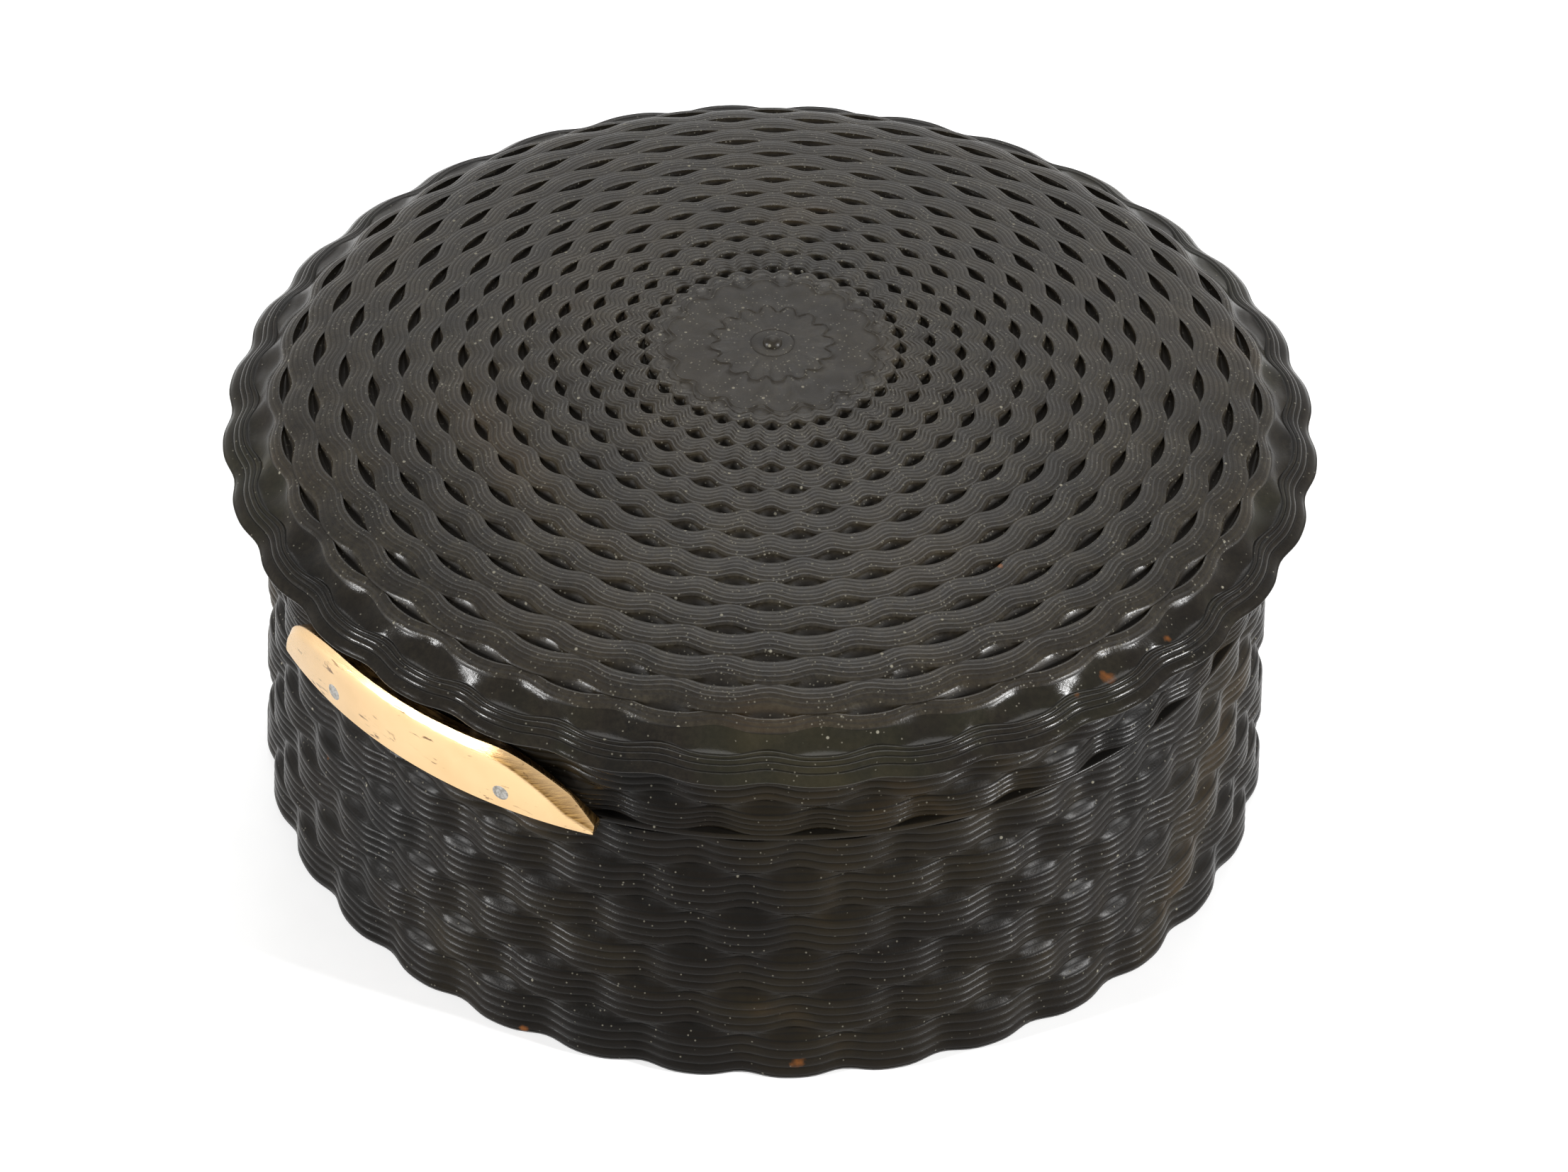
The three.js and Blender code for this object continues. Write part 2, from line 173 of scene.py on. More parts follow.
# Thumb-piece
THUMB_LENGTH = 30.6
THUMB_HEIGHT = 5.1
THUMB_THICKNESS = 1.5
THUMB_FACE = 39.43
THUMB_BACK = THUMB_FACE - THUMB_THICKNESS
THUMB_BASE = span("thumb_piece", 2)[0]
THUMB_END_RUN = 8.0
THUMB_TIP = 0.7
THUMB_BLUNT_TIP = 1.3
THUMB_BACK_FALL = 0.25
THUMB_BEVEL = 0.75
THUMB_ROUND = 0.1
THUMB_SOFT = 0.02
THUMB_FULLNESS = 0.05
THUMB_PIN_RADIUS = 0.7
THUMB_PIN_SPACING = 16.3
THUMB_PIN_HEIGHT = 1.5
PIN_EDGE = 0.06

# Hinge
HINGE_Y = 36.5
HINGE_Z = 22.8
LEAF_WIDTH = 18.0
LEAF_HEIGHT = 5.4
LEAF_BACK = 35.3
LEAF_THICKNESS = 0.7
LEAF_CORNER = 0.8
LEAF_BEVEL = 0.09
RECESS_SEAT = 35.2
RECESS_SIDE = 9.15
RECESS_MARGIN = 0.15
KNUCKLE_RADIUS = 1.2
KNUCKLE_COUNT = 5
KNUCKLE_GAP = 0.25
KNUCKLE_CLEARANCE = 0.2
KNUCKLE_BEVEL = 0.06
HINGE_PIN_RADIUS = 0.45
HINGE_PIN_TIP = 0.3
RIVETS = 3
RIVET_EDGE = 2.6
RIVET_RADIUS = 0.8
RIVET_RISE = 0.4
RIVET_COLLAR = 0.12

# Camera: aimed at the axis, level with the rim
CAMERA_DISTANCE = 418.3
CAMERA_ELEVATION = 0.6696
CAMERA_AZIMUTH = math.radians(-50.3)
CAMERA_AIM = 30.7
CAMERA_ROLL = 0.0218
CAMERA_PAN = 0.003
CAMERA_TILT = -0.0292
CAMERA_LENS = 129.04
CAMERA_SENSOR = 36

# The white surroundings light the box at this strength, and the eye and mirrors see them at 1
WORLD_LIGHT = 0.25
FLOOR_GLOW = 0.35
LAMP_AIM = 25


# Node trees

def feed(tree, node, inputs):
    """Each input takes a number or another node's socket"""
    for key, value in inputs.items():
        if isinstance(value, bpy.types.NodeSocket):
            tree.links.new(value, node.inputs[key])
        else:
            node.inputs[key].default_value = value


def add(tree, kind, settings=None, inputs=None):
    """A node with its settings and inputs"""
    made = tree.nodes.new(kind)
    for key, value in (settings or {}).items():
        setattr(made, key, value)
    feed(tree, made, inputs or {})
    return made


def calc(tree, operation, *terms):
    """Arithmetic between numbers and sockets"""
    return add(tree, "ShaderNodeMath", {"operation": operation}, dict(enumerate(terms))).outputs[0]


def times(tree, first, second):
    return calc(tree, "MULTIPLY", first, second)


def new_tree(name, sizes):
    """Geometry tree with a mesh in and out and named sizes"""
    tree = bpy.data.node_groups.new(name, "GeometryNodeTree")
    tree.interface.new_socket("Geometry", in_out="INPUT", socket_type="NodeSocketGeometry")
    for label, kind in sizes:
        tree.interface.new_socket(label, in_out="INPUT", socket_type="NodeSocket" + kind)
    tree.interface.new_socket("Material", in_out="INPUT", socket_type="NodeSocketMaterial")
    tree.interface.new_socket("Geometry", in_out="OUTPUT", socket_type="NodeSocketGeometry")
    return tree, add(tree, "NodeGroupInput").outputs


def close_tree(tree, given, geometry):
    """Every tree ends in real mesh that carries its material"""
    real = add(tree, "GeometryNodeRealizeInstances", inputs={"Geometry": geometry})
    dressed = add(tree, "GeometryNodeSetMaterial", inputs={
        "Geometry": real.outputs[0], "Material": given["Material"],
    })
    add(tree, "NodeGroupOutput", inputs={"Geometry": dressed.outputs[0]})
    return tree


def rose_engine():
    """Turns a profile round the axis while its rows swing in and out with the waves"""
    tree, given = new_tree("rose engine", [
        ("Points Round", "Int"), ("Rows", "Int"), ("Sharpness", "Float"), ("Turn", "Float"),
    ])
    columns = calc(tree, "ADD", given["Points Round"], 1)
    sheet = add(tree, "GeometryNodeMeshGrid", inputs={
        "Size X": 1.0, "Size Y": 1.0, "Vertices X": columns, "Vertices Y": given["Rows"],
    }).outputs["Mesh"]
    index = add(tree, "GeometryNodeInputIndex").outputs[0]
    row = calc(tree, "FLOORED_MODULO", index, given["Rows"])
    column = calc(tree, "FLOOR", calc(tree, "DIVIDE", calc(tree, "ADD", index, 0.5), given["Rows"]))

    def profile(attribute):
        named = add(tree, "GeometryNodeInputNamedAttribute", {"data_type": "FLOAT_VECTOR"}, {
            "Name": attribute,
        })
        sampled = add(tree, "GeometryNodeSampleIndex", {"data_type": "FLOAT_VECTOR", "domain": "POINT"}, {
            "Geometry": given["Geometry"], "Value": named.outputs[0], "Index": row,
        })
        return add(tree, "ShaderNodeSeparateXYZ", inputs={0: sampled.outputs[0]}).outputs

    radius, height, lobes = profile("place")
    swing_with, swing_against, groove = profile("swing")
    lift_with, lift_against, opens = profile("lift")
    angle = times(tree, calc(tree, "DIVIDE", column, given["Points Round"]), 2 * math.pi)
    phase = times(tree, angle, lobes)
    first = calc(tree, "COSINE", phase)
    doubled = calc(tree, "COSINE", times(tree, phase, 2))
    second = times(tree, doubled, given["Sharpness"])
    with_rim = calc(tree, "SUBTRACT", first, second)
    against_rim = calc(tree, "SUBTRACT", times(tree, first, -1), second)

    def swung(base, amount_with, amount_against):
        moved = calc(tree, "MULTIPLY_ADD", amount_with, with_rim, base)
        return calc(tree, "MULTIPLY_ADD", amount_against, against_rim, moved)

    reach = swung(radius, swing_with, swing_against)
    level = swung(height, lift_with, lift_against)
    turned = calc(tree, "ADD", angle, given["Turn"])
    place = add(tree, "ShaderNodeCombineXYZ", inputs={
        "X": times(tree, reach, calc(tree, "COSINE", turned)),
        "Y": times(tree, reach, calc(tree, "SINE", turned)),
        "Z": level,
    })
    # A hollow is painted darker, as shade, where its strands bow apart, and the painted shade fades where
    # they meet
    apart = add(tree, "ShaderNodeMath", {"operation": "MULTIPLY_ADD", "use_clamp": True}, {
        0: times(tree, opens, first), 1: HOLLOW_GAIN, 2: HOLLOW_LEVEL,
    }).outputs[0]
    shut = times(tree, times(tree, opens, opens), calc(tree, "SUBTRACT", 1.0, apart))
    shade = times(tree, groove, calc(tree, "SUBTRACT", 1.0, shut))
    marked = add(tree, "GeometryNodeStoreNamedAttribute", {"data_type": "FLOAT", "domain": "POINT"}, {
        "Geometry": sheet, "Name": "groove", "Value": shade,
    })
    shaped = add(tree, "GeometryNodeSetPosition", inputs={
        "Geometry": marked.outputs[0], "Position": place.outputs[0],
    })
    closed = add(tree, "GeometryNodeMergeByDistance", inputs={
        "Geometry": shaped.outputs[0], "Distance": TURNED_MERGE,
    })
    return close_tree(tree, given, closed.outputs[0])


def block_recess():
    """Cuts a block out of a turned piece"""
    tree, given = new_tree("hinge recess", [("Size", "Vector"), ("Centre", "Vector")])
    block = add(tree, "GeometryNodeMeshCube", inputs={"Size": given["Size"]})
    moved = add(tree, "GeometryNodeTransform", inputs={
        "Geometry": block.outputs["Mesh"], "Translation": given["Centre"],
    })
    cut = add(tree, "GeometryNodeMeshBoolean", {"operation": "DIFFERENCE", "solver": "MANIFOLD"}, {
        "Mesh 1": given["Geometry"], "Mesh 2": moved.outputs[0],
    })
    return close_tree(tree, given, cut.outputs["Mesh"])


def repeat_row():
    """Copies a piece along a line, or round the axis by equal turns"""
    tree, given = new_tree("repeat", [
        ("Count", "Int"), ("Step", "Vector"), ("Start Turn", "Float"), ("Turn", "Float"),
    ])
    line = add(tree, "GeometryNodeMeshLine", {"mode": "OFFSET"}, {
        "Count": given["Count"], "Offset": given["Step"],
    })
    index = add(tree, "GeometryNodeInputIndex").outputs[0]
    turn = calc(tree, "MULTIPLY_ADD", index, given["Turn"], given["Start Turn"])
    rotation = add(tree, "ShaderNodeCombineXYZ", inputs={"Z": turn})
    copies = add(tree, "GeometryNodeInstanceOnPoints", inputs={
        "Points": line.outputs[0], "Instance": given["Geometry"], "Rotation": rotation.outputs[0],
    })
    return close_tree(tree, given, copies.outputs[0])


def put(name, data):
    """A new object in the scene"""
    made = bpy.data.objects.new(name, data)
    bpy.context.scene.collection.objects.link(made)
    return made


def grow(name, mesh, steps):
    """A piece grown from a mesh by one or more trees, each with its own sizes"""
    seed = put(name + "_seed", mesh)
    for tree, sizes in steps:
        modifier = seed.modifiers.new(tree.name, "NODES")
        modifier.node_group = tree
        for item in tree.interface.items_tree:
            if item.in_out == "INPUT" and item.name in sizes:
                modifier[item.identifier] = sizes[item.name]
    graph = bpy.context.evaluated_depsgraph_get()
    grown = bpy.data.meshes.new_from_object(seed.evaluated_get(graph), depsgraph=graph)
    bpy.data.objects.remove(seed)
    bpy.data.meshes.remove(mesh)
    return put(name, grown)


def smooth(piece, angle):
    """Smooth shading that keeps edges sharper than the angle crisp"""
    for face in piece.data.polygons:
        face.use_smooth = True
    piece.data.set_sharp_from_angle(angle=math.radians(angle))
    return piece


# Rows of a turned profile

def row(radius, height, swing=0.0, lift=0.0, side=0.0, lobes=WAVES, groove=0.0, opens=0.0):
    """One row: side 0 swings with the rim, 1 against it; groove is the shade painted on it and its dullness;
    opens is where its hollow is widest
    """
    return {
        "place": (radius, height, lobes),
        "swing": (swing * (1 - side), swing * side, groove),
        "lift": (lift * (1 - side), lift * side, opens),
    }


def hollow_row(start, end, share, sag, height):
    """A row between two strands: the hollow is deep where they bow apart"""
    def between(key, part):
        return start[key][part] * (1 - share) + end[key][part] * share
    opens = 1.0 if end["swing"][0] > end["swing"][1] else -1.0
    drop = sag / 4 * opens
    return {
        "place": (between("place", 0), height - sag / 2, start["place"][2]),
        "swing": (between("swing", 0), between("swing", 1), HOLLOW_SHADE),
        "lift": (between("lift", 0) - drop, between("lift", 1) + drop, opens),
    }


def shaded(part, groove):
    """The row with another shade"""
    return dict(part, swing=(part["swing"][0], part["swing"][1], groove))


def turn_piece(name, rows, material, turn=LID_TURN, points=POINTS_ROUND, recess=None):
    """Closed piece turned from rows that run round the section and meet again"""
    mesh = bpy.data.meshes.new(name + "_profile")
    mesh.from_pydata([(0.0, i * MM, 0.0) for i in range(len(rows))], [], [])
    for key in ("place", "swing", "lift"):
        layer = mesh.attributes.new(key, "FLOAT_VECTOR", "POINT")
        flat = []
        for r in rows:
            x, y, z = r[key]
            flat += [x * MM, y * MM, z]
        layer.data.foreach_set("vector", flat)
    steps = [(ROSE_ENGINE, {
        "Points Round": points, "Rows": len(rows), "Sharpness": SHARPNESS, "Turn": turn, "Material": material,
    })]
    if recess:
        low, high = recess
        steps.append((BLOCK_RECESS, {
            "Size": tuple((b - a) * MM for a, b in zip(low, high)),
            "Centre": tuple((a + b) / 2 * MM for a, b in zip(low, high)),
            "Material": material,
        }))
    return smooth(grow(name, mesh, steps), TURNED_CRISP)


def line_rows(start, end, count, side, swing, lift, bulge):
    """Rows over a strand of fine rounded lines with a groove between each two"""
    rows = []
    total = count * LINE_STEPS
    edges = {0: 2 * side - 1, total: 1 - 2 * side}
    for i in range(total + 1):
        share = i / total
        within = (i % LINE_STEPS) / LINE_STEPS
        crest = 1 - abs(2 * within - 1) ** 2.2
        height = LINE_DEPTH * crest + bulge * (1 - (2 * share - 1) ** 2)
        radius = start + (end - start) * share
        shade = 1.0 if i in edges else LINE_SHADE * (1 - crest)
        level = crown(radius) + height - LINE_DEPTH
        rows.append(row(radius, level, swing, lift, side, groove=shade, opens=edges.get(i, 0.0)))
    return rows


def crown(radius):
    """Height of the dome at a radius, with its fall at the shoulder"""
    share = radius / CROWN_RADIUS
    return CROWN_EDGE + CROWN_RISE * (1 - share ** 2) + SHOULDER_FALL * (1 - share ** SHOULDER_TIGHTNESS)


def strand_centre(ring):
    """Radius of the middle of a strand"""
    return CROWN_RADIUS - ring * WEAVE_PITCH


def strand(ring):
    """Strand of the weave; ring 0 is the outermost, and neighbours swing against each other"""
    centre = strand_centre(ring)
    inner, outer, lines = centre - STRAND_HALF, centre + STRAND_HALF, STRAND_LINES
    if ring == 0:
        outer, lines = EDGE_STRAND_OUT, EDGE_STRAND_LINES
    side = (ring + 1) % 2
    return line_rows(inner, outer, lines, side, STRAND_SWING, STRAND_LIFT, STRAND_BULGE)


def hollow_between(inner_end, outer_start, depth, shares=HOLLOW_SHARES):
    """Rows of a whole hollow, deepest in its middle"""
    rows = []
    for share in shares:
        height = inner_end["place"][1] * (1 - share) + outer_start["place"][1] * share
        sag = depth * math.sin(math.pi * share) ** 0.6
        rows.append(hollow_row(inner_end, outer_start, share, sag, height))
    return rows


def weave(first, last):
    """Strands from ring first out to ring last, with the hollows between them"""
    rows = []
    for ring in range(first, last - 1, -1):
        strand_rows = strand(ring)
        if rows:
            rows += hollow_between(rows[-1], strand_rows[0], HOLLOW_DEPTH)
        rows += strand_rows
    return rows


def seam_sides():
    """Last strand row of the inner crown piece and first of the outer"""
    return strand(OUTER_RINGS)[-1], strand(OUTER_RINGS - 1)[0]


def seam_row():
    """The middle of the hollow where the inner and outer crown pieces meet"""
    inner, outer = seam_sides()
    height = (inner["place"][1] + outer["place"][1]) / 2
    return hollow_row(inner, outer, 0.5, HOLLOW_DEPTH, height)


def hollow_half(inner_side):
    """Rows of that hollow on one side of its middle"""
    inner, outer = seam_sides()
    rows = hollow_between(inner, outer, HOLLOW_DEPTH)
    middle = len(rows) // 2
    return rows[:middle] if inner_side else rows[middle + 1:]


def rosette():
    """Stud, flat, petals and the two zigzag rings, from the axis out"""
    rows = []

    def petal(radius, rise, swing=0.0, lift=0.0, groove=0.0):
        shade = ROSETTE_SHADE + ROSETTE_GROOVE * groove
        rows.append(row(radius, crown(radius) + rise, swing, lift, 0.0, PETALS, shade))

    for i in range(7):
        angle = i / 6 * math.pi / 2
        petal(STUD_RADIUS * math.sin(angle), STUD_HEIGHT * math.cos(angle))
    petal(STUD_RADIUS + 0.1, 0.0, groove=0.5)
    petal(STUD_FLAT - 0.12, 0.0)
    petal(STUD_FLAT, -0.05, groove=0.5)
    petal(STUD_FLAT + 0.12, 0.0)
    for i in range(1, 9):
        share = i / 8
        radius = STUD_FLAT + 0.15 + (INNER_RING - 0.4 - STUD_FLAT) * share
        line = 0.025 * (i % 2)
        petal(radius, -0.03 * share - line, 0.3 * share, 0.03 * share, groove=8 * line)
    for offset, rise, groove in INNER_RIDGE:
        petal(INNER_RING + offset, rise, PETAL_SWING * INNER_SHARE, 0.02, groove=groove)
    for i in range(1, 10):
        share = i / 10
        radius = INNER_RING + 0.2 + (SCALLOP_RING - INNER_RING - 0.45) * share
        sag = math.sin(math.pi * share)
        swing = PETAL_SWING * (INNER_SHARE + 0.15 * share)
        petal(radius, -0.03 - 0.06 * sag, swing, -0.06 * sag, groove=0.4 * sag)
    for offset, rise, groove in OUTER_RIDGES:
        petal(SCALLOP_RING + offset, rise, PETAL_SWING, 0.0, groove=groove)
    # A half strand ends the weave at the rosette
    inner = strand_centre(WEAVE_RINGS) - 0.1
    side = (WEAVE_RINGS + 1) % 2
    swing = STRAND_SWING * 0.8
    return rows + line_rows(inner, inner + STRAND_HALF, 2, side, swing, 0.0, STRAND_BULGE / 2)


def under_lid(radius):
    """Height of the inside of the lid"""
    return crown(radius) - LID_THICKNESS


def lid_middle(material):
    """The inner crown with the rosette, and the inside of the lid under it"""
    rows = rosette()
    inner_weave = weave(WEAVE_RINGS - 1, OUTER_RINGS)
    rows += hollow_between(rows[-1], inner_weave[0], HOLLOW_DEPTH)
    rows += inner_weave + hollow_half(True) + [seam_row()]
    edge = seam_row()["place"][0]
    rows.append(row(edge, under_lid(edge)))
    for i in range(5, -1, -1):
        radius = edge * i / 6
        rows.append(row(radius, under_lid(radius)))
    return turn_piece("lid_middle", rows, material)


def lid_field(material):
    """The outer crown, with the inside of the lid under it"""
    corner = LID_THICKNESS / 2
    side = EDGE_STRAND_OUT - 0.5
    rows = [seam_row()] + hollow_half(False) + weave(OUTER_RINGS - 1, 0)
    last = rows[-1]
    rows.append(hollow_row(last, row(COVE_OUT, BEAD_TOP, COVE_SWING), 0.02, 0.0, last["place"][1] - 0.1))
    foot = under_lid(SKIRT_BORE) - corner
    rows += [row(side, crown(side) - 1.2), row(side, foot), row(SKIRT_BORE, foot)]
    for i in range(1, 6):
        angle = i / 5 * math.pi / 2
        rows.append(row(SKIRT_BORE - corner * (1 - math.cos(angle)), foot + corner * math.sin(angle)))
    edge = seam_row()["place"][0]
    for i in range(1, 7):
        radius = SKIRT_BORE - corner + (edge - SKIRT_BORE + corner) * i / 6
        rows.append(row(radius, under_lid(radius)))
    rows.append(seam_row())
    return turn_piece("lid_field", rows, material)


def bead_curve(share, out):
    """A point on the curve that the beads follow, raised out from it"""
    points = ((COVE_OUT, BEAD_TOP), BEAD_CORNER, BEAD_FOOT)
    first, second, third = points
    weights = ((1 - share) ** 2, 2 * share * (1 - share), share ** 2)
    radius, height = (sum(w * point[axis] for w, point in zip(weights, points)) for axis in (0, 1))
    across, down = (
        2 * (1 - share) * (second[axis] - first[axis]) + 2 * share * (third[axis] - second[axis])
        for axis in (0, 1)
    )
    length = math.hypot(across, down)
    return radius - out * down / length, height + out * across / length


def lid_rim(material):
    """Scooped cove, three beads, a smooth fascia down to the lip, and the underside"""
    inner = strand(0)[-1]
    first = row(COVE_OUT, BEAD_TOP, COVE_SWING, groove=0.6)
    start = EDGE_STRAND_OUT - 0.6
    rows = [row(start, crown(start) - 0.4), row(start + 0.3, crown(start + 0.3) - 0.3), inner]
    for part in hollow_between(inner, first, COVE_DEPTH, COVE_SHARES):
        rows.append(shaded(part, 0.0))
    # Shade is painted between the beads, darkest at their feet
    for low, high, height in zip(BEAD_SHARES, BEAD_SHARES[1:], BEAD_HEIGHTS):
        for i in range(7):
            crest = math.sin(math.pi * i / 6) ** 0.75
            share = low + (high - low) * i / 6
            radius, level = bead_curve(share, height * crest - 0.03)
            swing = COVE_SWING + (RIM_SWING - COVE_SWING) * min(1.0, share * 2)
            rows.append(row(radius, level, swing, groove=max(0.0, 0.9 - 1.6 * crest)))
    (edge, top), lip = BEAD_FOOT, RIM_FOOT + LIP_HEIGHT
    for i in range(1, 9):
        share = i / 8
        full = LIP_FULLNESS * math.sin(math.pi * share)
        radius = edge + (LIP_RADIUS - edge) * share + full
        rows.append(row(radius, top + (lip + 0.1 - top) * share + full, RIM_SWING))
    for out, down in LIP_ROUND:
        rows.append(row(LIP_RADIUS + out, lip + 0.12 - down, RIM_SWING))
    # Under the lip the painted shade grows darker towards the skirt
    for share in (0.3, 0.65, 0.9):
        radius = LIP_RADIUS + (SKIRT_RADIUS + 0.3 - LIP_RADIUS) * share
        rows.append(row(radius, lip - (lip - RIM_FOOT) * share ** 0.5 - 0.05, RIM_SWING, groove=share))
    rows += [row(SKIRT_RADIUS + 0.3, RIM_FOOT, BODY_SWING, groove=1.0)]
    rows += [row(SKIRT_RADIUS - 0.6, RIM_FOOT - 0.1), row(start, RIM_FOOT + 0.8), rows[0]]
    return turn_piece("lid_rim", rows, material)


def board_rows(top, bottom, count, side, radius_at):
    """Rows down a band of overlapping lines, each standing out most near its lower edge"""
    rows = []
    pitch = (top - bottom) / count
    for line in range(count):
        for share, out, groove in BOARD_SHAPE:
            height = top - (line + share) * pitch
            radius = radius_at(height) - BOARD_DEPTH * (1 - out)
            rows.append(row(radius, height, BODY_SWING, 0.0, side, groove=groove))
    rows.append(row(radius_at(bottom) - BOARD_DEPTH, bottom, BODY_SWING, 0.0, side, groove=1.0))
    return rows


def band_hollow(upper, lower):
    """The hollow between a band and the next, which swings the other way"""
    rows = []
    for share, out, groove in BAND_HOLLOW_SHAPE:
        height = upper["place"][1] * (1 - share) + lower["place"][1] * share
        part = shaded(hollow_row(upper, lower, share, 0.0, height), groove)
        sag = BAND_HOLLOW * math.sin(math.pi * share ** 0.6) + BAND_LINE * (1 - out)
        part["place"] = (part["place"][0] - sag, height, WAVES)
        rows.append(part)
    return rows


def hinge_recess(low, high):
    """Corners of the block cut away behind the hinge, which is open to the outside"""
    return (-RECESS_SIDE, RECESS_SEAT, low), (RECESS_SIDE, LIP_RADIUS + 2, high)


def skirt_radius(height):
    """The skirt is upright, so its radius is the same at every height"""
    return SKIRT_RADIUS


def lid_skirt(material):
    """Two bands that swing against each other, a plain bead under them, and the bore"""
    top = RIM_FOOT + 0.05
    middle = RIM_FOOT - UPPER_BAND
    foot = SKIRT_FOOT + SKIRT_FILLET
    upper = board_rows(top, middle, UPPER_LINES, 0, skirt_radius)
    lower = board_rows(middle - BAND_STEP, foot + 0.06, LOWER_LINES, 1, skirt_radius)
    rows = upper + band_hollow(upper[-1], lower[0]) + lower
    # The first row of the bead has painted shade, under the band above it
    for i in range(7):
        angle = i / 6 * math.pi
        radius = SKIRT_RADIUS + (SKIRT_BEAD * math.sin(angle) + SKIRT_EDGE)
        height = foot - SKIRT_FILLET * (1 - math.cos(angle)) / 2
        rows.append(row(radius, height, groove=0.8 if i == 0 else 0))
    ceiling = under_lid(SKIRT_BORE) - LID_THICKNESS / 2
    rows += [row(SKIRT_BORE + SKIRT_CUT, SKIRT_FOOT), row(SKIRT_BORE, SKIRT_FOOT + SKIRT_CUT)]
    rows += [row(SKIRT_BORE, SKIRT_FOOT + (ceiling - SKIRT_FOOT) * i / 4) for i in (1, 2, 3, 4)]
    hidden = SKIRT_RADIUS - SKIRT_SHELL
    rows += [row(hidden, ceiling), row(hidden, top), rows[0]]
    recess = hinge_recess(BODY_HEIGHT - 1, HINGE_Z + LEAF_HEIGHT + RECESS_MARGIN)
    return turn_piece("lid_skirt", rows, material, recess=recess)


def wall_radius(height):
    """The wall widens a little towards its foot"""
    return WALL_BASE + (WALL_TOP - WALL_BASE) * height / BODY_HEIGHT


def wall(material):
    """Six bands of four lines that swing against each other, like a basket"""
    rows = []
    band = BODY_HEIGHT / BODY_BANDS
    for i in range(BODY_BANDS):
        top = BODY_HEIGHT - i * band
        bottom = top - band + (BAND_STEP if i < BODY_BANDS - 1 else BASE_EDGE[0][1] + 0.05)
        lines = board_rows(top, bottom, BODY_LINES, i % 2, wall_radius)
        if rows:
            rows += band_hollow(rows[-1], lines[0])
        rows += lines
    rows += [row(WALL_BASE - out, height, BODY_SWING, side=1) for out, height in BASE_EDGE]
    rows += [row(WALL_BASE - FOOT_INSET, 0.0), row(BORE + EDGE_CUT, 0.0), row(BORE, EDGE_CUT)]
    rows += [row(BORE, BODY_HEIGHT * i / 5) for i in (1, 2, 3, 4)]
    rows += [row(BORE, BODY_HEIGHT - EDGE_CUT), row(BORE + EDGE_CUT, BODY_HEIGHT)]
    rows += [row(WALL_TOP - 0.6, BODY_HEIGHT), rows[0]]
    recess = hinge_recess(HINGE_Z - LEAF_HEIGHT - RECESS_MARGIN, SKIRT_FOOT + 1)
    return turn_piece("basket_wall", rows, material, turn=BODY_TURN, recess=recess)


def base_disc(material):
    """Base with fine turned rings, inside and under"""
    radius = BORE - FIT_GAP
    cut = 0.4
    rows = [row(0.0, BASE_THICKNESS)]
    # Every other ring on each face is a shallow groove with painted shade in it
    for i in range(1, BASE_RINGS):
        odd = i % 2
        rows.append(row(radius * i / BASE_RINGS, BASE_THICKNESS - 0.03 * odd, groove=0.3 * odd))
    rows += [row(radius, BASE_THICKNESS), row(radius, cut), row(radius - cut, 0.0)]
    for i in range(BASE_RINGS - 1, 0, -1):
        odd = i % 2
        rows.append(row(radius * i / BASE_RINGS - cut, 0.05 * odd, groove=0.4 * odd))
    rows.append(row(0.0, 0.0))
    return turn_piece("base_disc", rows, material, points=PLAIN_POINTS)


def lining_ring(material):
    """Thin ring inside the wall that stands up into the lid"""
    low, high = span("box_bezel", 2)
    outer, inner = BORE - FIT_GAP, BORE - LINING
    rows = [row(inner, low + EDGE_CUT), row(inner + EDGE_CUT, low), row(outer, low)]
    # Every other ring is a shallow groove with painted shade in it
    for i in range(1, 13):
        odd = i % 2
        rows.append(row(outer - 0.02 * odd, low + (high - 0.4 - low) * i / 12, groove=0.3 * odd))
    rows += [row(outer - 0.12, high - 0.1), row(outer - 0.32, high)]
    rows += [row(inner + EDGE_CUT, high), row(inner, high - EDGE_CUT)]
    rows += [row(inner, high - (high - low) * i / 6) for i in range(1, 6)]
    rows.append(rows[0])
    return turn_piece("lining_ring", rows, material, points=PLAIN_POINTS)


# Pieces made as plain meshes

def mesh_from(name, points, faces):
    """Mesh from points in millimetres"""
    mesh = bpy.data.meshes.new(name)
    mesh.from_pydata([tuple(v * MM for v in point) for point in points], [], faces)
    return mesh


def as_piece(name, mesh, material, crisp=35, bevel=0.0):
    """A piece with its merged corners, outward faces and, where asked, softened edges"""
    shell = bmesh.new()
    shell.from_mesh(mesh)
    bmesh.ops.remove_doubles(shell, verts=shell.verts, dist=PLAIN_MERGE)
    bmesh.ops.recalc_face_normals(shell, faces=shell.faces)
    if bevel:
        sharp = [edge for edge in shell.edges if edge.calc_face_angle(0) > math.radians(40)]
        bmesh.ops.bevel(
            shell, geom=sharp, offset=bevel * MM, segments=3, profile=0.5, affect="EDGES", clamp_overlap=True,
        )
    shell.to_mesh(mesh)
    shell.free()
    mesh.materials.clear()
    mesh.materials.append(material)
    return smooth(put(name, mesh), crisp)


def loft(name, sections):
    """Closed mesh through equal rings of points, with both ends capped"""
    size = len(sections[0])
    points = [point for section in sections for point in section]
    faces = []
    for i in range(len(sections) - 1):
        for j in range(size):
            a, b = i * size + j, i * size + (j + 1) % size
            faces.append((a, b, b + size, a + size))
    last = (len(sections) - 1) * size
    faces.append(tuple(range(size))[::-1])
    faces.append(tuple(range(last, last + size)))
    return mesh_from(name, points, faces)


def thumb_top(along):
    """Level in the middle, then a rounded fall to each tip"""
    past = max(0.0, abs(along) - (THUMB_LENGTH / 2 - THUMB_END_RUN)) / THUMB_END_RUN
    if along > 0:
        return THUMB_HEIGHT - (THUMB_HEIGHT - THUMB_TIP) * past ** 1.7
    fall = 1 - math.sqrt(max(0.0, 1 - past ** 2))
    return THUMB_HEIGHT - (THUMB_HEIGHT - THUMB_BLUNT_TIP) * fall


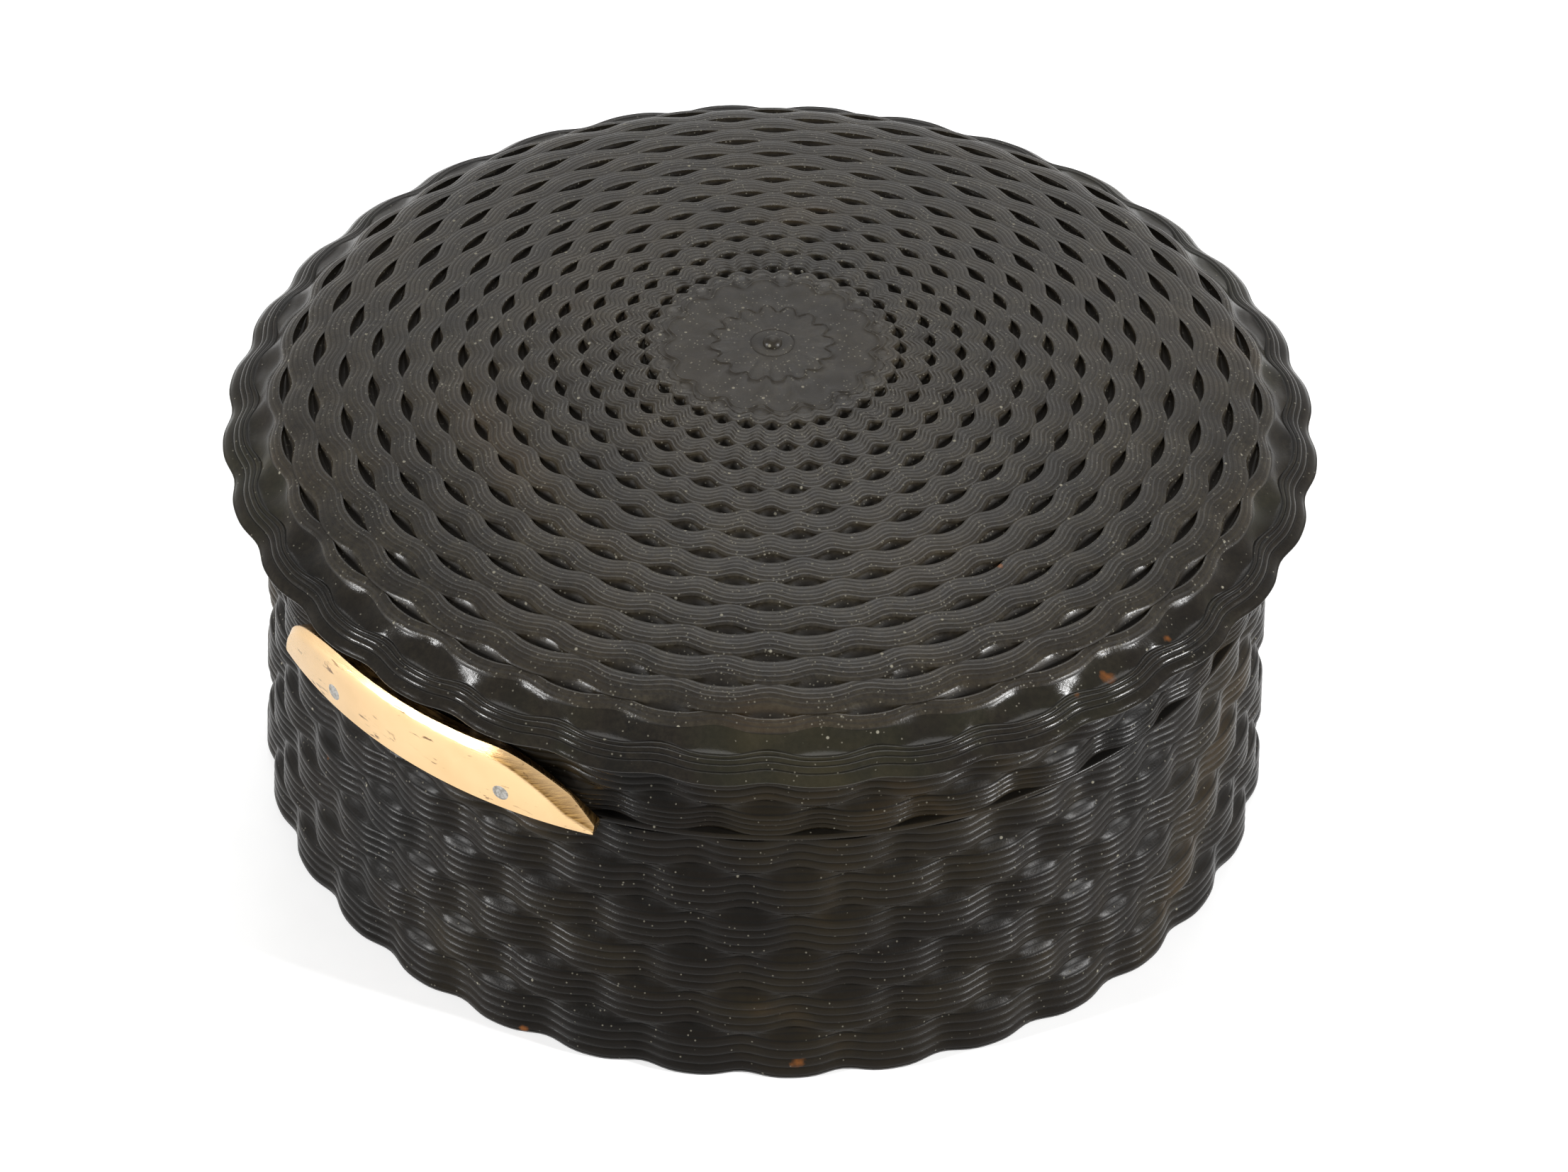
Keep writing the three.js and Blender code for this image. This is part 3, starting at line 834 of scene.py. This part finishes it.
def thumb_section(along):
    """Section of the bar: slightly full face, narrow bevel that widens to the right end"""
    top = thumb_top(along)
    right = max(0.0, along / (THUMB_LENGTH / 2))
    bevel = min(THUMB_BEVEL * (0.85 + 1.1 * right ** 2), top * 0.5)
    angle = -math.pi / 2 + along / THUMB_FACE
    face_top = top - bevel
    back_fall = min(THUMB_BACK_FALL, top * 0.4)
    edge = THUMB_ROUND
    outline = [(THUMB_BACK + edge, 0.0), (THUMB_BACK, edge)]
    outline += [(THUMB_BACK, top - back_fall - edge), (THUMB_BACK + edge, top - back_fall)]
    bevel_inner = THUMB_FACE - bevel * (0.5 + 0.3 * right)
    outline += [(bevel_inner - 0.12, top), (bevel_inner, top - 0.03)]
    outline += [(THUMB_FACE - edge, face_top + edge), (THUMB_FACE - THUMB_SOFT, face_top - 0.03)]
    for i in range(1, 6):
        share = i / 6
        full = THUMB_FULLNESS * math.sin(math.pi * share)
        outline.append((THUMB_FACE + full, (face_top - edge) * (1 - share) + edge))
    outline += [(THUMB_FACE - THUMB_SOFT, 0.06), (THUMB_FACE - 0.14, 0.0)]
    return [(r * math.cos(angle), r * math.sin(angle), THUMB_BASE + h) for r, h in outline]


def thumb_bar(material):
    """The bar, marked where it is coloured browner: on its top, and near the right end on the bevel too"""
    steps = 96
    # Shares of half the length, from -1 at the left tip to 1 at the right, closer near the tips
    shares = [-math.cos(i / steps * math.pi) for i in range(steps + 1)]
    sections = [thumb_section(share * THUMB_LENGTH / 2) for share in shares]
    mesh = loft("thumb_bar", sections)
    browned_top = []
    for share in shares:
        # Two points on the top, then the upper and the lower edge of the bevel
        marks = [0.0] * len(sections[0])
        marks[3:7] = (1.0, 1.0, 0.2, max(0.0, min(1.0, share * 3 - 0.6)))
        browned_top += marks
    mesh.attributes.new("bevel", "FLOAT", "POINT").data.foreach_set("value", browned_top)
    return as_piece("thumb_bar", mesh, material, crisp=30)


def rod(name, outline, around, y=0.0, z=0.0):
    """Round bar along X through y and z, from (x, radius) pairs"""
    turns = [i / around * 2 * math.pi for i in range(around)]
    return loft(name, [
        [(x, y + radius * math.cos(turn), z + radius * math.sin(turn)) for turn in turns]
        for x, radius in outline
    ])


def domed_pin(name, radius, back, face, rise):
    """Pin along +X with a slightly domed end, ready to be turned round the axis"""
    flat = radius - PIN_EDGE
    outline = [(back, radius), (face - 0.05, radius), (face, flat)]
    outline += [(face + rise * (1 - s * s), flat * s) for s in (0.75, 0.5, 0.25, 0.02)]
    return rod(name, outline, 32)


def thumb_pins(material):
    """Both pin ends in the face of the thumb-piece"""
    half = THUMB_PIN_SPACING / 2 / THUMB_FACE
    pin = domed_pin("thumb_pins", THUMB_PIN_RADIUS, SKIRT_RADIUS - 1.4, THUMB_FACE + 0.04, 0.05)
    pin.transform(Matrix.Translation((0, 0, (THUMB_BASE + THUMB_PIN_HEIGHT) * MM)))
    sizes = {"Count": 2, "Start Turn": -math.pi / 2 - half, "Turn": 2 * half, "Material": material}
    return smooth(grow("thumb_pins", pin, [(REPEAT, sizes)]), angle=40)


def knuckle_outline(side):
    """Barrel round the pin with the strip that ties it to its plate, as (y, z) points"""
    outline = []
    steps = 28
    for i in range(steps + 1):
        angle = -math.pi / 2 + i / steps * 1.5 * math.pi
        outline.append((KNUCKLE_RADIUS * math.cos(angle), KNUCKLE_RADIUS * math.sin(angle)))
    back, front = -KNUCKLE_RADIUS, LEAF_THICKNESS - KNUCKLE_RADIUS
    outline += [(back, -LEAF_HEIGHT / 2), (front, -LEAF_HEIGHT / 2), (front, -KNUCKLE_RADIUS)]
    return [(y, -z * side) for y, z in outline]


def knuckles(name, side, material):
    """Every other knuckle of the barrel: side -1 for the box, 1 for the lid"""
    pitch = (LEAF_WIDTH + KNUCKLE_GAP) / KNUCKLE_COUNT
    first = 1 if side > 0 else 0
    start = -LEAF_WIDTH / 2 + first * pitch
    ends = (start, start + pitch - KNUCKLE_GAP)
    sections = [[(x, HINGE_Y + y, HINGE_Z + z) for y, z in knuckle_outline(side)] for x in ends]
    body = as_piece(name + "_one", loft(name, sections), material, bevel=KNUCKLE_BEVEL)
    one = body.data
    bpy.data.objects.remove(body)
    count = (KNUCKLE_COUNT + 1) // 2 - first
    sizes = {"Count": count, "Step": (2 * pitch * MM, 0.0, 0.0), "Material": material}
    return smooth(grow(name, one, [(REPEAT, sizes)]), angle=32)


def leaf_plate(name, side, material):
    """Hinge plate with cut corners and softened edges"""
    near = HINGE_Z + side * (KNUCKLE_RADIUS + KNUCKLE_CLEARANCE)
    far = HINGE_Z + side * LEAF_HEIGHT
    half, cut = LEAF_WIDTH / 2, LEAF_CORNER * side
    outline = [(-half, near), (half, near), (half, far - cut)]
    outline += [(half - LEAF_CORNER, far), (LEAF_CORNER - half, far), (-half, far - cut)]
    sections = [[(x, y, z) for x, z in outline] for y in (LEAF_BACK, LEAF_BACK + LEAF_THICKNESS)]
    return as_piece(name, loft(name, sections), material, bevel=LEAF_BEVEL)


def hinge_rod(material):
    """Pin of the hinge with slightly tapered ends"""
    half = LEAF_WIDTH / 2
    outline = [(-half, HINGE_PIN_TIP), (-half + 0.1, HINGE_PIN_RADIUS)]
    outline += [(half - 0.1, HINGE_PIN_RADIUS), (half, HINGE_PIN_TIP)]
    return as_piece("hinge_rod", rod("hinge_rod", outline, 24, HINGE_Y, HINGE_Z), material)


def rivets(name, side, material):
    """Row of domed rivets through one leaf"""
    height = HINGE_Z + side * (KNUCKLE_RADIUS + (LEAF_HEIGHT - KNUCKLE_RADIUS) / 2)
    face = LEAF_BACK + LEAF_THICKNESS
    rivet = domed_pin(name, RIVET_RADIUS, face - 1.5, face + RIVET_COLLAR, RIVET_RISE - RIVET_COLLAR)
    place = Matrix.Translation((-(LEAF_WIDTH / 2 - RIVET_EDGE) * MM, 0, height * MM))
    rivet.transform(place @ Matrix.Rotation(math.pi / 2, 4, "Z"))
    step = (LEAF_WIDTH - 2 * RIVET_EDGE) / (RIVETS - 1) * MM
    sizes = {"Count": RIVETS, "Step": (step, 0.0, 0.0), "Material": material}
    return smooth(grow(name, rivet, [(REPEAT, sizes)]), angle=40)


# Materials

def new_material(name):
    """A material with its tree and shader, and the place on the piece in millimetres"""
    material = bpy.data.materials.new(name)
    material.use_nodes = True
    tree = material.node_tree
    shader = tree.nodes["Principled BSDF"]
    place = add(tree, "ShaderNodeTexCoord").outputs["Object"]
    scaled = add(tree, "ShaderNodeMapping", inputs={"Vector": place, "Scale": (1000, 1000, 1000)})
    return material, tree, shader, scaled.outputs[0]


def noise(tree, place, scale, detail, roughness=0.5, distortion=0.0):
    return add(tree, "ShaderNodeTexNoise", inputs={
        "Vector": place, "Scale": scale, "Detail": detail, "Roughness": roughness, "Distortion": distortion,
    }).outputs["Fac"]


def ramp(tree, value, stops):
    made = add(tree, "ShaderNodeValToRGB", inputs={"Fac": value})
    elements = made.color_ramp.elements
    while len(elements) < len(stops):
        elements.new(0.5)
    for element, (position, colour) in zip(elements, stops):
        element.position = position
        element.color = (*colour, 1)
    return made.outputs["Color"]


def grey(level):
    return (level, level, level)


def mix(tree, share, first, second):
    """A colour between two, each given as a socket or as three numbers"""
    ends = [c if isinstance(c, bpy.types.NodeSocket) else (*c, 1) for c in (first, second)]
    return add(tree, "ShaderNodeMix", {"data_type": "RGBA"}, {
        0: share, 6: ends[0], 7: ends[1],
    }).outputs[2]


def limits(tree, value, low, high, out_low, out_high):
    """A value stretched from one range to another and kept within it"""
    return add(tree, "ShaderNodeMapRange", inputs={
        "Value": value, "From Min": low, "From Max": high, "To Min": out_low, "To Max": out_high,
    }).outputs[0]


def stored(tree, name):
    """A value that the mesh carries at its points"""
    return add(tree, "ShaderNodeAttribute", {"attribute_name": name}).outputs["Fac"]


def relief(tree, height, distance, strength):
    """Fine unevenness as a normal, its distance in metres"""
    return add(tree, "ShaderNodeBump", inputs={
        "Height": height, "Distance": distance, "Strength": strength,
    }).outputs[0]


def specks(tree, place, scale, size, share):
    """Scattered dots: one in so many cells holds a speck of the given size"""
    cells = add(tree, "ShaderNodeTexVoronoi", inputs={"Vector": place, "Scale": scale, "Randomness": 1.0})
    near = limits(tree, cells.outputs["Distance"], size * 0.6, size, 1.0, 0.0)
    chance = add(tree, "ShaderNodeSeparateColor", inputs={"Color": cells.outputs["Color"]}).outputs[0]
    chosen = calc(tree, "LESS_THAN", chance, share)
    return times(tree, near, chosen)


# Rust-coloured spots as (azimuth in degrees, radius, height, size)
SPOTS = (
    (-45.9, 38.0, 1.7, 0.75), (-77.0, 38.2, 0.6, 0.5), (-2.0, 38.3, 32.3, 0.55), (-11.3, 38.3, 32.3, 0.75),
    (-15.6, 38.4, 32.3, 0.5), (-108.0, 38.0, 14.4, 0.3), (-13.6, 27.5, 35.5, 0.35),
)
# Colours of the film of handling, which also paints a sheen, rust, dust, dark flecks in the gold, and the
# painted shade in grooves and hollows.
# Grain is in metres; dullness is the roughness that grooves add or dust brings.
FILM_AND_SHEEN = (0.06, 0.05, 0.032)
RUST = (0.16, 0.055, 0.012)
DUST = (0.3, 0.28, 0.22)
GOLD_DARK_FLECK = (0.12, 0.06, 0.03)
GROOVE_SHADE_COLOUR = (0.001, 0.0008, 0.0005)
WEAVE_GROOVE_SHADE_COLOUR = (0.006, 0.0045, 0.003)
SHELL_IOR = 1.5
SHELL_GRAIN = 0.000016
METAL_GRAIN = 0.00003
GROOVE_DULLNESS = 0.45
DUST_DULLNESS = 0.85


def spots(tree, place):
    """Share of rust colour near each spot, with ragged edges"""
    ragged = noise(tree, place, scale=1.3, detail=3.0)
    total = None
    for azimuth, radius, height, size in SPOTS:
        angle = math.radians(azimuth)
        centre = (radius * math.cos(angle), radius * math.sin(angle), height)
        away = add(tree, "ShaderNodeVectorMath", {"operation": "DISTANCE"}, {
            0: place, 1: centre,
        }).outputs["Value"]
        edge = calc(tree, "MULTIPLY_ADD", ragged, size * 1.2, away)
        near = limits(tree, edge, size * 0.9, size * 1.5, 1.0, 0.0)
        total = near if total is None else calc(tree, "MAXIMUM", total, near)
    return total


def tortoiseshell(name, haze_and_sheen, dust, amber, shine, gloss=0.0, tooth=0.0, groove_shade_colour=GROOVE_SHADE_COLOUR):
    """Near-black shell, mottled brown and amber, dulled by handling, with a film that also paints a sheen,
    painted shade in its grooves and hollows, rust spots and dust
    """
    material, tree, shader, place = new_material(name)
    patches = noise(tree, place, scale=0.055, detail=4.0, roughness=0.55, distortion=0.8)
    mottle = ramp(tree, patches, [
        (0.32, (0.003, 0.0026, 0.0022)),
        (0.5, (0.006, 0.0046, 0.0034)),
        (0.62, (0.014 * amber, 0.008, 0.0045)),
        (0.74, (0.034 * amber, 0.017, 0.008)),
    ])
    clouds = noise(tree, place, scale=0.32, detail=3.0, roughness=0.6, distortion=0.4)
    rubbing = noise(tree, place, scale=2.4, detail=4.0, roughness=0.7)
    cloud = limits(tree, clouds, 0.36, 0.68, 0.3, 1.0)
    patina = limits(tree, rubbing, 0.35, 0.68, 0.3, 1.3)
    # The film of handling; it is also a painted sheen that lightens the shell, most on the top
    film_and_sheen = times(tree, times(tree, cloud, patina), haze_and_sheen)
    hazed_and_sheened = mix(tree, film_and_sheen, mottle, FILM_AND_SHEEN)
    groove = stored(tree, "groove")
    # Painted shade: grooves and hollows are darkened towards near-black by the stored groove value
    cut = mix(tree, times(tree, groove, 0.85), hazed_and_sheened, groove_shade_colour)
    rust = mix(tree, spots(tree, place), cut, RUST)
    drifts = noise(tree, place, scale=0.45, detail=3.0, roughness=0.6)
    dusted = limits(tree, drifts, 0.42, 0.62, 0.08 * dust, 0.55 * dust)
    fine = specks(tree, place, scale=3.6, size=0.3, share=dusted)
    large = specks(tree, place, scale=0.85, size=0.12, share=0.2 * dust)
    dusty = calc(tree, "MAXIMUM", times(tree, fine, 0.5), large)
    colour = mix(tree, times(tree, dusty, 0.55), rust, DUST)
    worn = noise(tree, place, scale=0.6, detail=4.0, roughness=0.6)
    polish = limits(tree, worn, 0.3, 0.75, 0.22 - gloss, 0.4 - gloss * 1.5)
    dull = calc(tree, "MULTIPLY_ADD", groove, GROOVE_DULLNESS, polish)
    grain = noise(tree, place, scale=6.0, detail=3.0, roughness=0.6)
    raised = calc(tree, "MULTIPLY_ADD", dusty, 0.8, grain)
    feed(tree, shader, {
        "Base Color": colour,
        "Roughness": calc(tree, "MAXIMUM", dull, times(tree, dusty, DUST_DULLNESS)),
        "IOR": SHELL_IOR,
        "Specular IOR Level": shine,
        "Normal": relief(tree, raised, SHELL_GRAIN + tooth, 1.0 - gloss * 4),
    })
    return material


def polished_gold(name, polish):
    """Worn peach gold: soft scratches, dark flecks, and a browner, rougher top and right end of the bevel"""
    material, tree, shader, place = new_material(name)
    stretched = add(tree, "ShaderNodeMapping", inputs={
        "Vector": place, "Rotation": (0.3, 0.9, 0.2), "Scale": (0.6, 0.6, 9),
    }).outputs[0]
    scratches = noise(tree, stretched, scale=1.6, detail=4.0, roughness=0.7)
    clouds = noise(tree, place, scale=0.22, detail=3.0)
    base = ramp(tree, clouds, [(0.3, (0.64, 0.43, 0.22)), (0.7, (0.72, 0.5, 0.27))])
    # The top, and near the right end the bevel, are coloured dark brown and made a little rougher
    bevel = stored(tree, "bevel")
    browned_top = ramp(tree, scratches, [(0.38, (0.1, 0.045, 0.01)), (0.62, (0.46, 0.27, 0.09))])
    tone = mix(tree, bevel, base, browned_top)
    # Scattered dark brown flecks laid over the gold
    along = add(tree, "ShaderNodeMapping", inputs={"Vector": place, "Scale": (0.3, 1, 1.3)}).outputs[0]
    fleck_pattern = noise(tree, along, scale=0.9, detail=4.0, roughness=0.65, distortion=0.6)
    dark_flecks = ramp(tree, fleck_pattern, [(0.62, grey(0)), (0.67, grey(1))])
    rough = limits(tree, scratches, 0.3, 0.8, polish, polish + 0.16)
    feed(tree, shader, {
        "Base Color": mix(tree, times(tree, dark_flecks, 0.85), tone, GOLD_DARK_FLECK),
        "Metallic": 1.0,
        "Roughness": calc(tree, "MULTIPLY_ADD", bevel, 0.1, rough),
        "Normal": relief(tree, scratches, METAL_GRAIN, 0.5),
    })
    return material


def worn_steel(name):
    """Grey steel pin ends with a pitted, brushed surface"""
    material, tree, shader, place = new_material(name)
    pits = noise(tree, place, scale=3.0, detail=4.0, roughness=0.7)
    feed(tree, shader, {
        "Base Color": ramp(tree, pits, [(0.35, (0.16, 0.15, 0.13)), (0.6, (0.38, 0.37, 0.35))]),
        "Metallic": 1.0,
        "Roughness": limits(tree, pits, 0.3, 0.7, 0.5, 0.32),
        "Normal": relief(tree, pits, METAL_GRAIN, 0.5),
    })
    return material


def seen_directly(tree):
    """1 where the eye, a mirror or clear glass looks, 0 where only light falls"""
    path = add(tree, "ShaderNodeLightPath").outputs
    mirrored = calc(tree, "MAXIMUM", path["Is Glossy Ray"], path["Is Transmission Ray"])
    return calc(tree, "MAXIMUM", path["Is Camera Ray"], mirrored)


def floor_white():
    """White paper; camera and mirror rays see it a little lighter, so it is white beside the shadow"""
    material, tree, shader, place = new_material("floor_white")
    fibre = ramp(tree, noise(tree, place, scale=0.4, detail=3.0), [(0.3, grey(0.8)), (0.7, grey(0.82))])
    feed(tree, shader, {"Base Color": fibre, "Roughness": 0.9, "Specular IOR Level": 0.1})
    strength = times(tree, seen_directly(tree), FLOOR_GLOW)
    glow = add(tree, "ShaderNodeEmission", inputs={"Color": (1, 1, 1, 1), "Strength": strength})
    both = add(tree, "ShaderNodeAddShader", inputs={0: shader.outputs[0], 1: glow.outputs[0]})
    feed(tree, tree.nodes["Material Output"], {"Surface": both.outputs[0]})
    return material


# Stage

def make_floor():
    """White paper far beyond the picture on all sides"""
    size = 3.0
    corners = [(-size, -size, 0), (size, -size, 0), (size, size, 0), (-size, size, 0)]
    mesh = bpy.data.meshes.new("floor")
    mesh.from_pydata(corners, [], [(0, 1, 2, 3)])
    mesh.materials.append(floor_white())
    floor = put("floor", mesh)


def make_world():
    """White surroundings, a little warm"""
    world = bpy.data.worlds.new("studio")
    world.use_nodes = True
    tree = world.node_tree
    feed(tree, tree.nodes["Background"], {
        "Color": (1.0, 0.99, 0.975, 1),
        "Strength": calc(tree, "MULTIPLY_ADD", seen_directly(tree), 1.0 - WORLD_LIGHT, WORLD_LIGHT),
    })
    bpy.context.scene.world = world


def make_lamp(name, azimuth, elevation, distance, size, power):
    """Soft box aimed at the middle of the lid; azimuth is seen from the camera, 0 behind it"""
    angle = CAMERA_AZIMUTH + math.radians(azimuth)
    rise = math.radians(elevation)
    aim = Vector((0, 0, LAMP_AIM * MM))
    away = Vector((math.cos(rise) * math.cos(angle), math.cos(rise) * math.sin(angle), math.sin(rise)))
    light = bpy.data.lights.new(name, "AREA")
    light.shape = "RECTANGLE"
    light.size, light.size_y = size
    light.energy = power
    lamp = put(name, light)
    lamp.location = aim + away * distance
    lamp.rotation_euler = away.to_track_quat("Z", "Y").to_euler()


def make_camera():
    """Set by its place round the box, then turned by pan, tilt and roll"""
    azimuth = Vector((math.cos(CAMERA_AZIMUTH), math.sin(CAMERA_AZIMUTH), 0))
    away = azimuth * math.cos(CAMERA_ELEVATION) + Vector((0, 0, math.sin(CAMERA_ELEVATION)))
    forward = -away
    right = Vector((-azimuth.y, azimuth.x, 0))
    up = right.cross(forward)
    ahead = (forward + math.tan(CAMERA_PAN) * right + math.tan(CAMERA_TILT) * up).normalized()
    side = ahead.cross(up).normalized()
    top = side.cross(ahead)
    x_axis = math.cos(CAMERA_ROLL) * side + math.sin(CAMERA_ROLL) * top
    y_axis = math.cos(CAMERA_ROLL) * top - math.sin(CAMERA_ROLL) * side
    place = Matrix((x_axis, y_axis, -ahead)).transposed().to_4x4()
    place.translation = away * CAMERA_DISTANCE * MM + Vector((0, 0, CAMERA_AIM * MM))
    lens = bpy.data.cameras.new("camera")
    lens.lens = CAMERA_LENS
    lens.sensor_width = CAMERA_SENSOR
    lens.clip_start = 0.01
    camera = put("camera", lens)
    camera.matrix_world = place
    bpy.context.scene.camera = camera


ROSE_ENGINE = rose_engine()
BLOCK_RECESS = block_recess()
REPEAT = repeat_row()

# The first number of each shell sets its film of handling and painted sheen: strong on the top, weak on the
# sides
shell_top = tortoiseshell(
    "shell_top", haze_and_sheen=0.4, dust=1.0, amber=0.8, shine=0.2, gloss=0.06, tooth=0.000008, groove_shade_colour=WEAVE_GROOVE_SHADE_COLOUR,
)
shell_rim = tortoiseshell("shell_rim", haze_and_sheen=0.15, dust=0.2, amber=0.6, shine=0.13, gloss=0.1)
shell_side = tortoiseshell("shell_side", haze_and_sheen=0.02, dust=0.25, amber=0.75, shine=0.09, gloss=0.06)
shell_inside = tortoiseshell("shell_inside", haze_and_sheen=0.05, dust=0.1, amber=1.2, shine=0.3)
gold = polished_gold("gold", polish=0.14)
steel = worn_steel("steel")

# Piece, body, replaced CAD nodes and slot
PIECES = (
    (lid_middle(shell_top), "lid", ("lid_cover",), "tortoiseshell"),
    (lid_field(shell_top), "lid", ("lid_cover",), "tortoiseshell"),
    (lid_rim(shell_rim), "lid", ("lid_cover",), "tortoiseshell"),
    (lid_skirt(shell_side), "lid", ("lid_cover",), "tortoiseshell"),
    (wall(shell_side), "box", ("box_wall",), "tortoiseshell"),
    (base_disc(shell_inside), "box", ("box_base",), "tortoiseshell"),
    (lining_ring(shell_inside), "box", ("box_bezel",), "tortoiseshell"),
    (thumb_bar(gold), "lid", ("thumb_piece",), "gold"),
    (thumb_pins(steel), "lid", ("thumb_pin_left", "thumb_pin_right"), "pin_steel"),
    (leaf_plate("leaf_box", -1, gold), "box", ("hinge_leaf_box",), "gold"),
    (knuckles("knuckles_box", -1, gold), "box", ("hinge_leaf_box",), "gold"),
    (leaf_plate("leaf_lid", 1, gold), "lid", ("hinge_leaf_lid",), "gold"),
    (knuckles("knuckles_lid", 1, gold), "lid", ("hinge_leaf_lid",), "gold"),
    (hinge_rod(steel), "box", ("hinge_pin",), "pin_steel"),
    (rivets("rivets_box", -1, gold), "box", ("rivet_box_1", "rivet_box_2", "rivet_box_3"), "gold"),
    (rivets("rivets_lid", 1, gold), "lid", ("rivet_lid_1", "rivet_lid_2", "rivet_lid_3"), "gold"),
)
for piece, body, nodes, slot in PIECES:
    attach(piece, body)
    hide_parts(*nodes)

make_floor()
make_world()
make_lamp("top_box", azimuth=175, elevation=58, distance=0.9, size=(0.45, 0.45), power=2.8)
make_lamp("back_box", azimuth=180, elevation=20, distance=0.9, size=(1.0, 0.35), power=0.6)
make_lamp("left_box", azimuth=-66, elevation=18, distance=0.8, size=(0.08, 0.27), power=9)
make_lamp("right_box", azimuth=68, elevation=18, distance=0.8, size=(0.08, 0.27), power=10.5)
make_camera()
bpy.context.scene.view_settings.view_transform = "Standard"
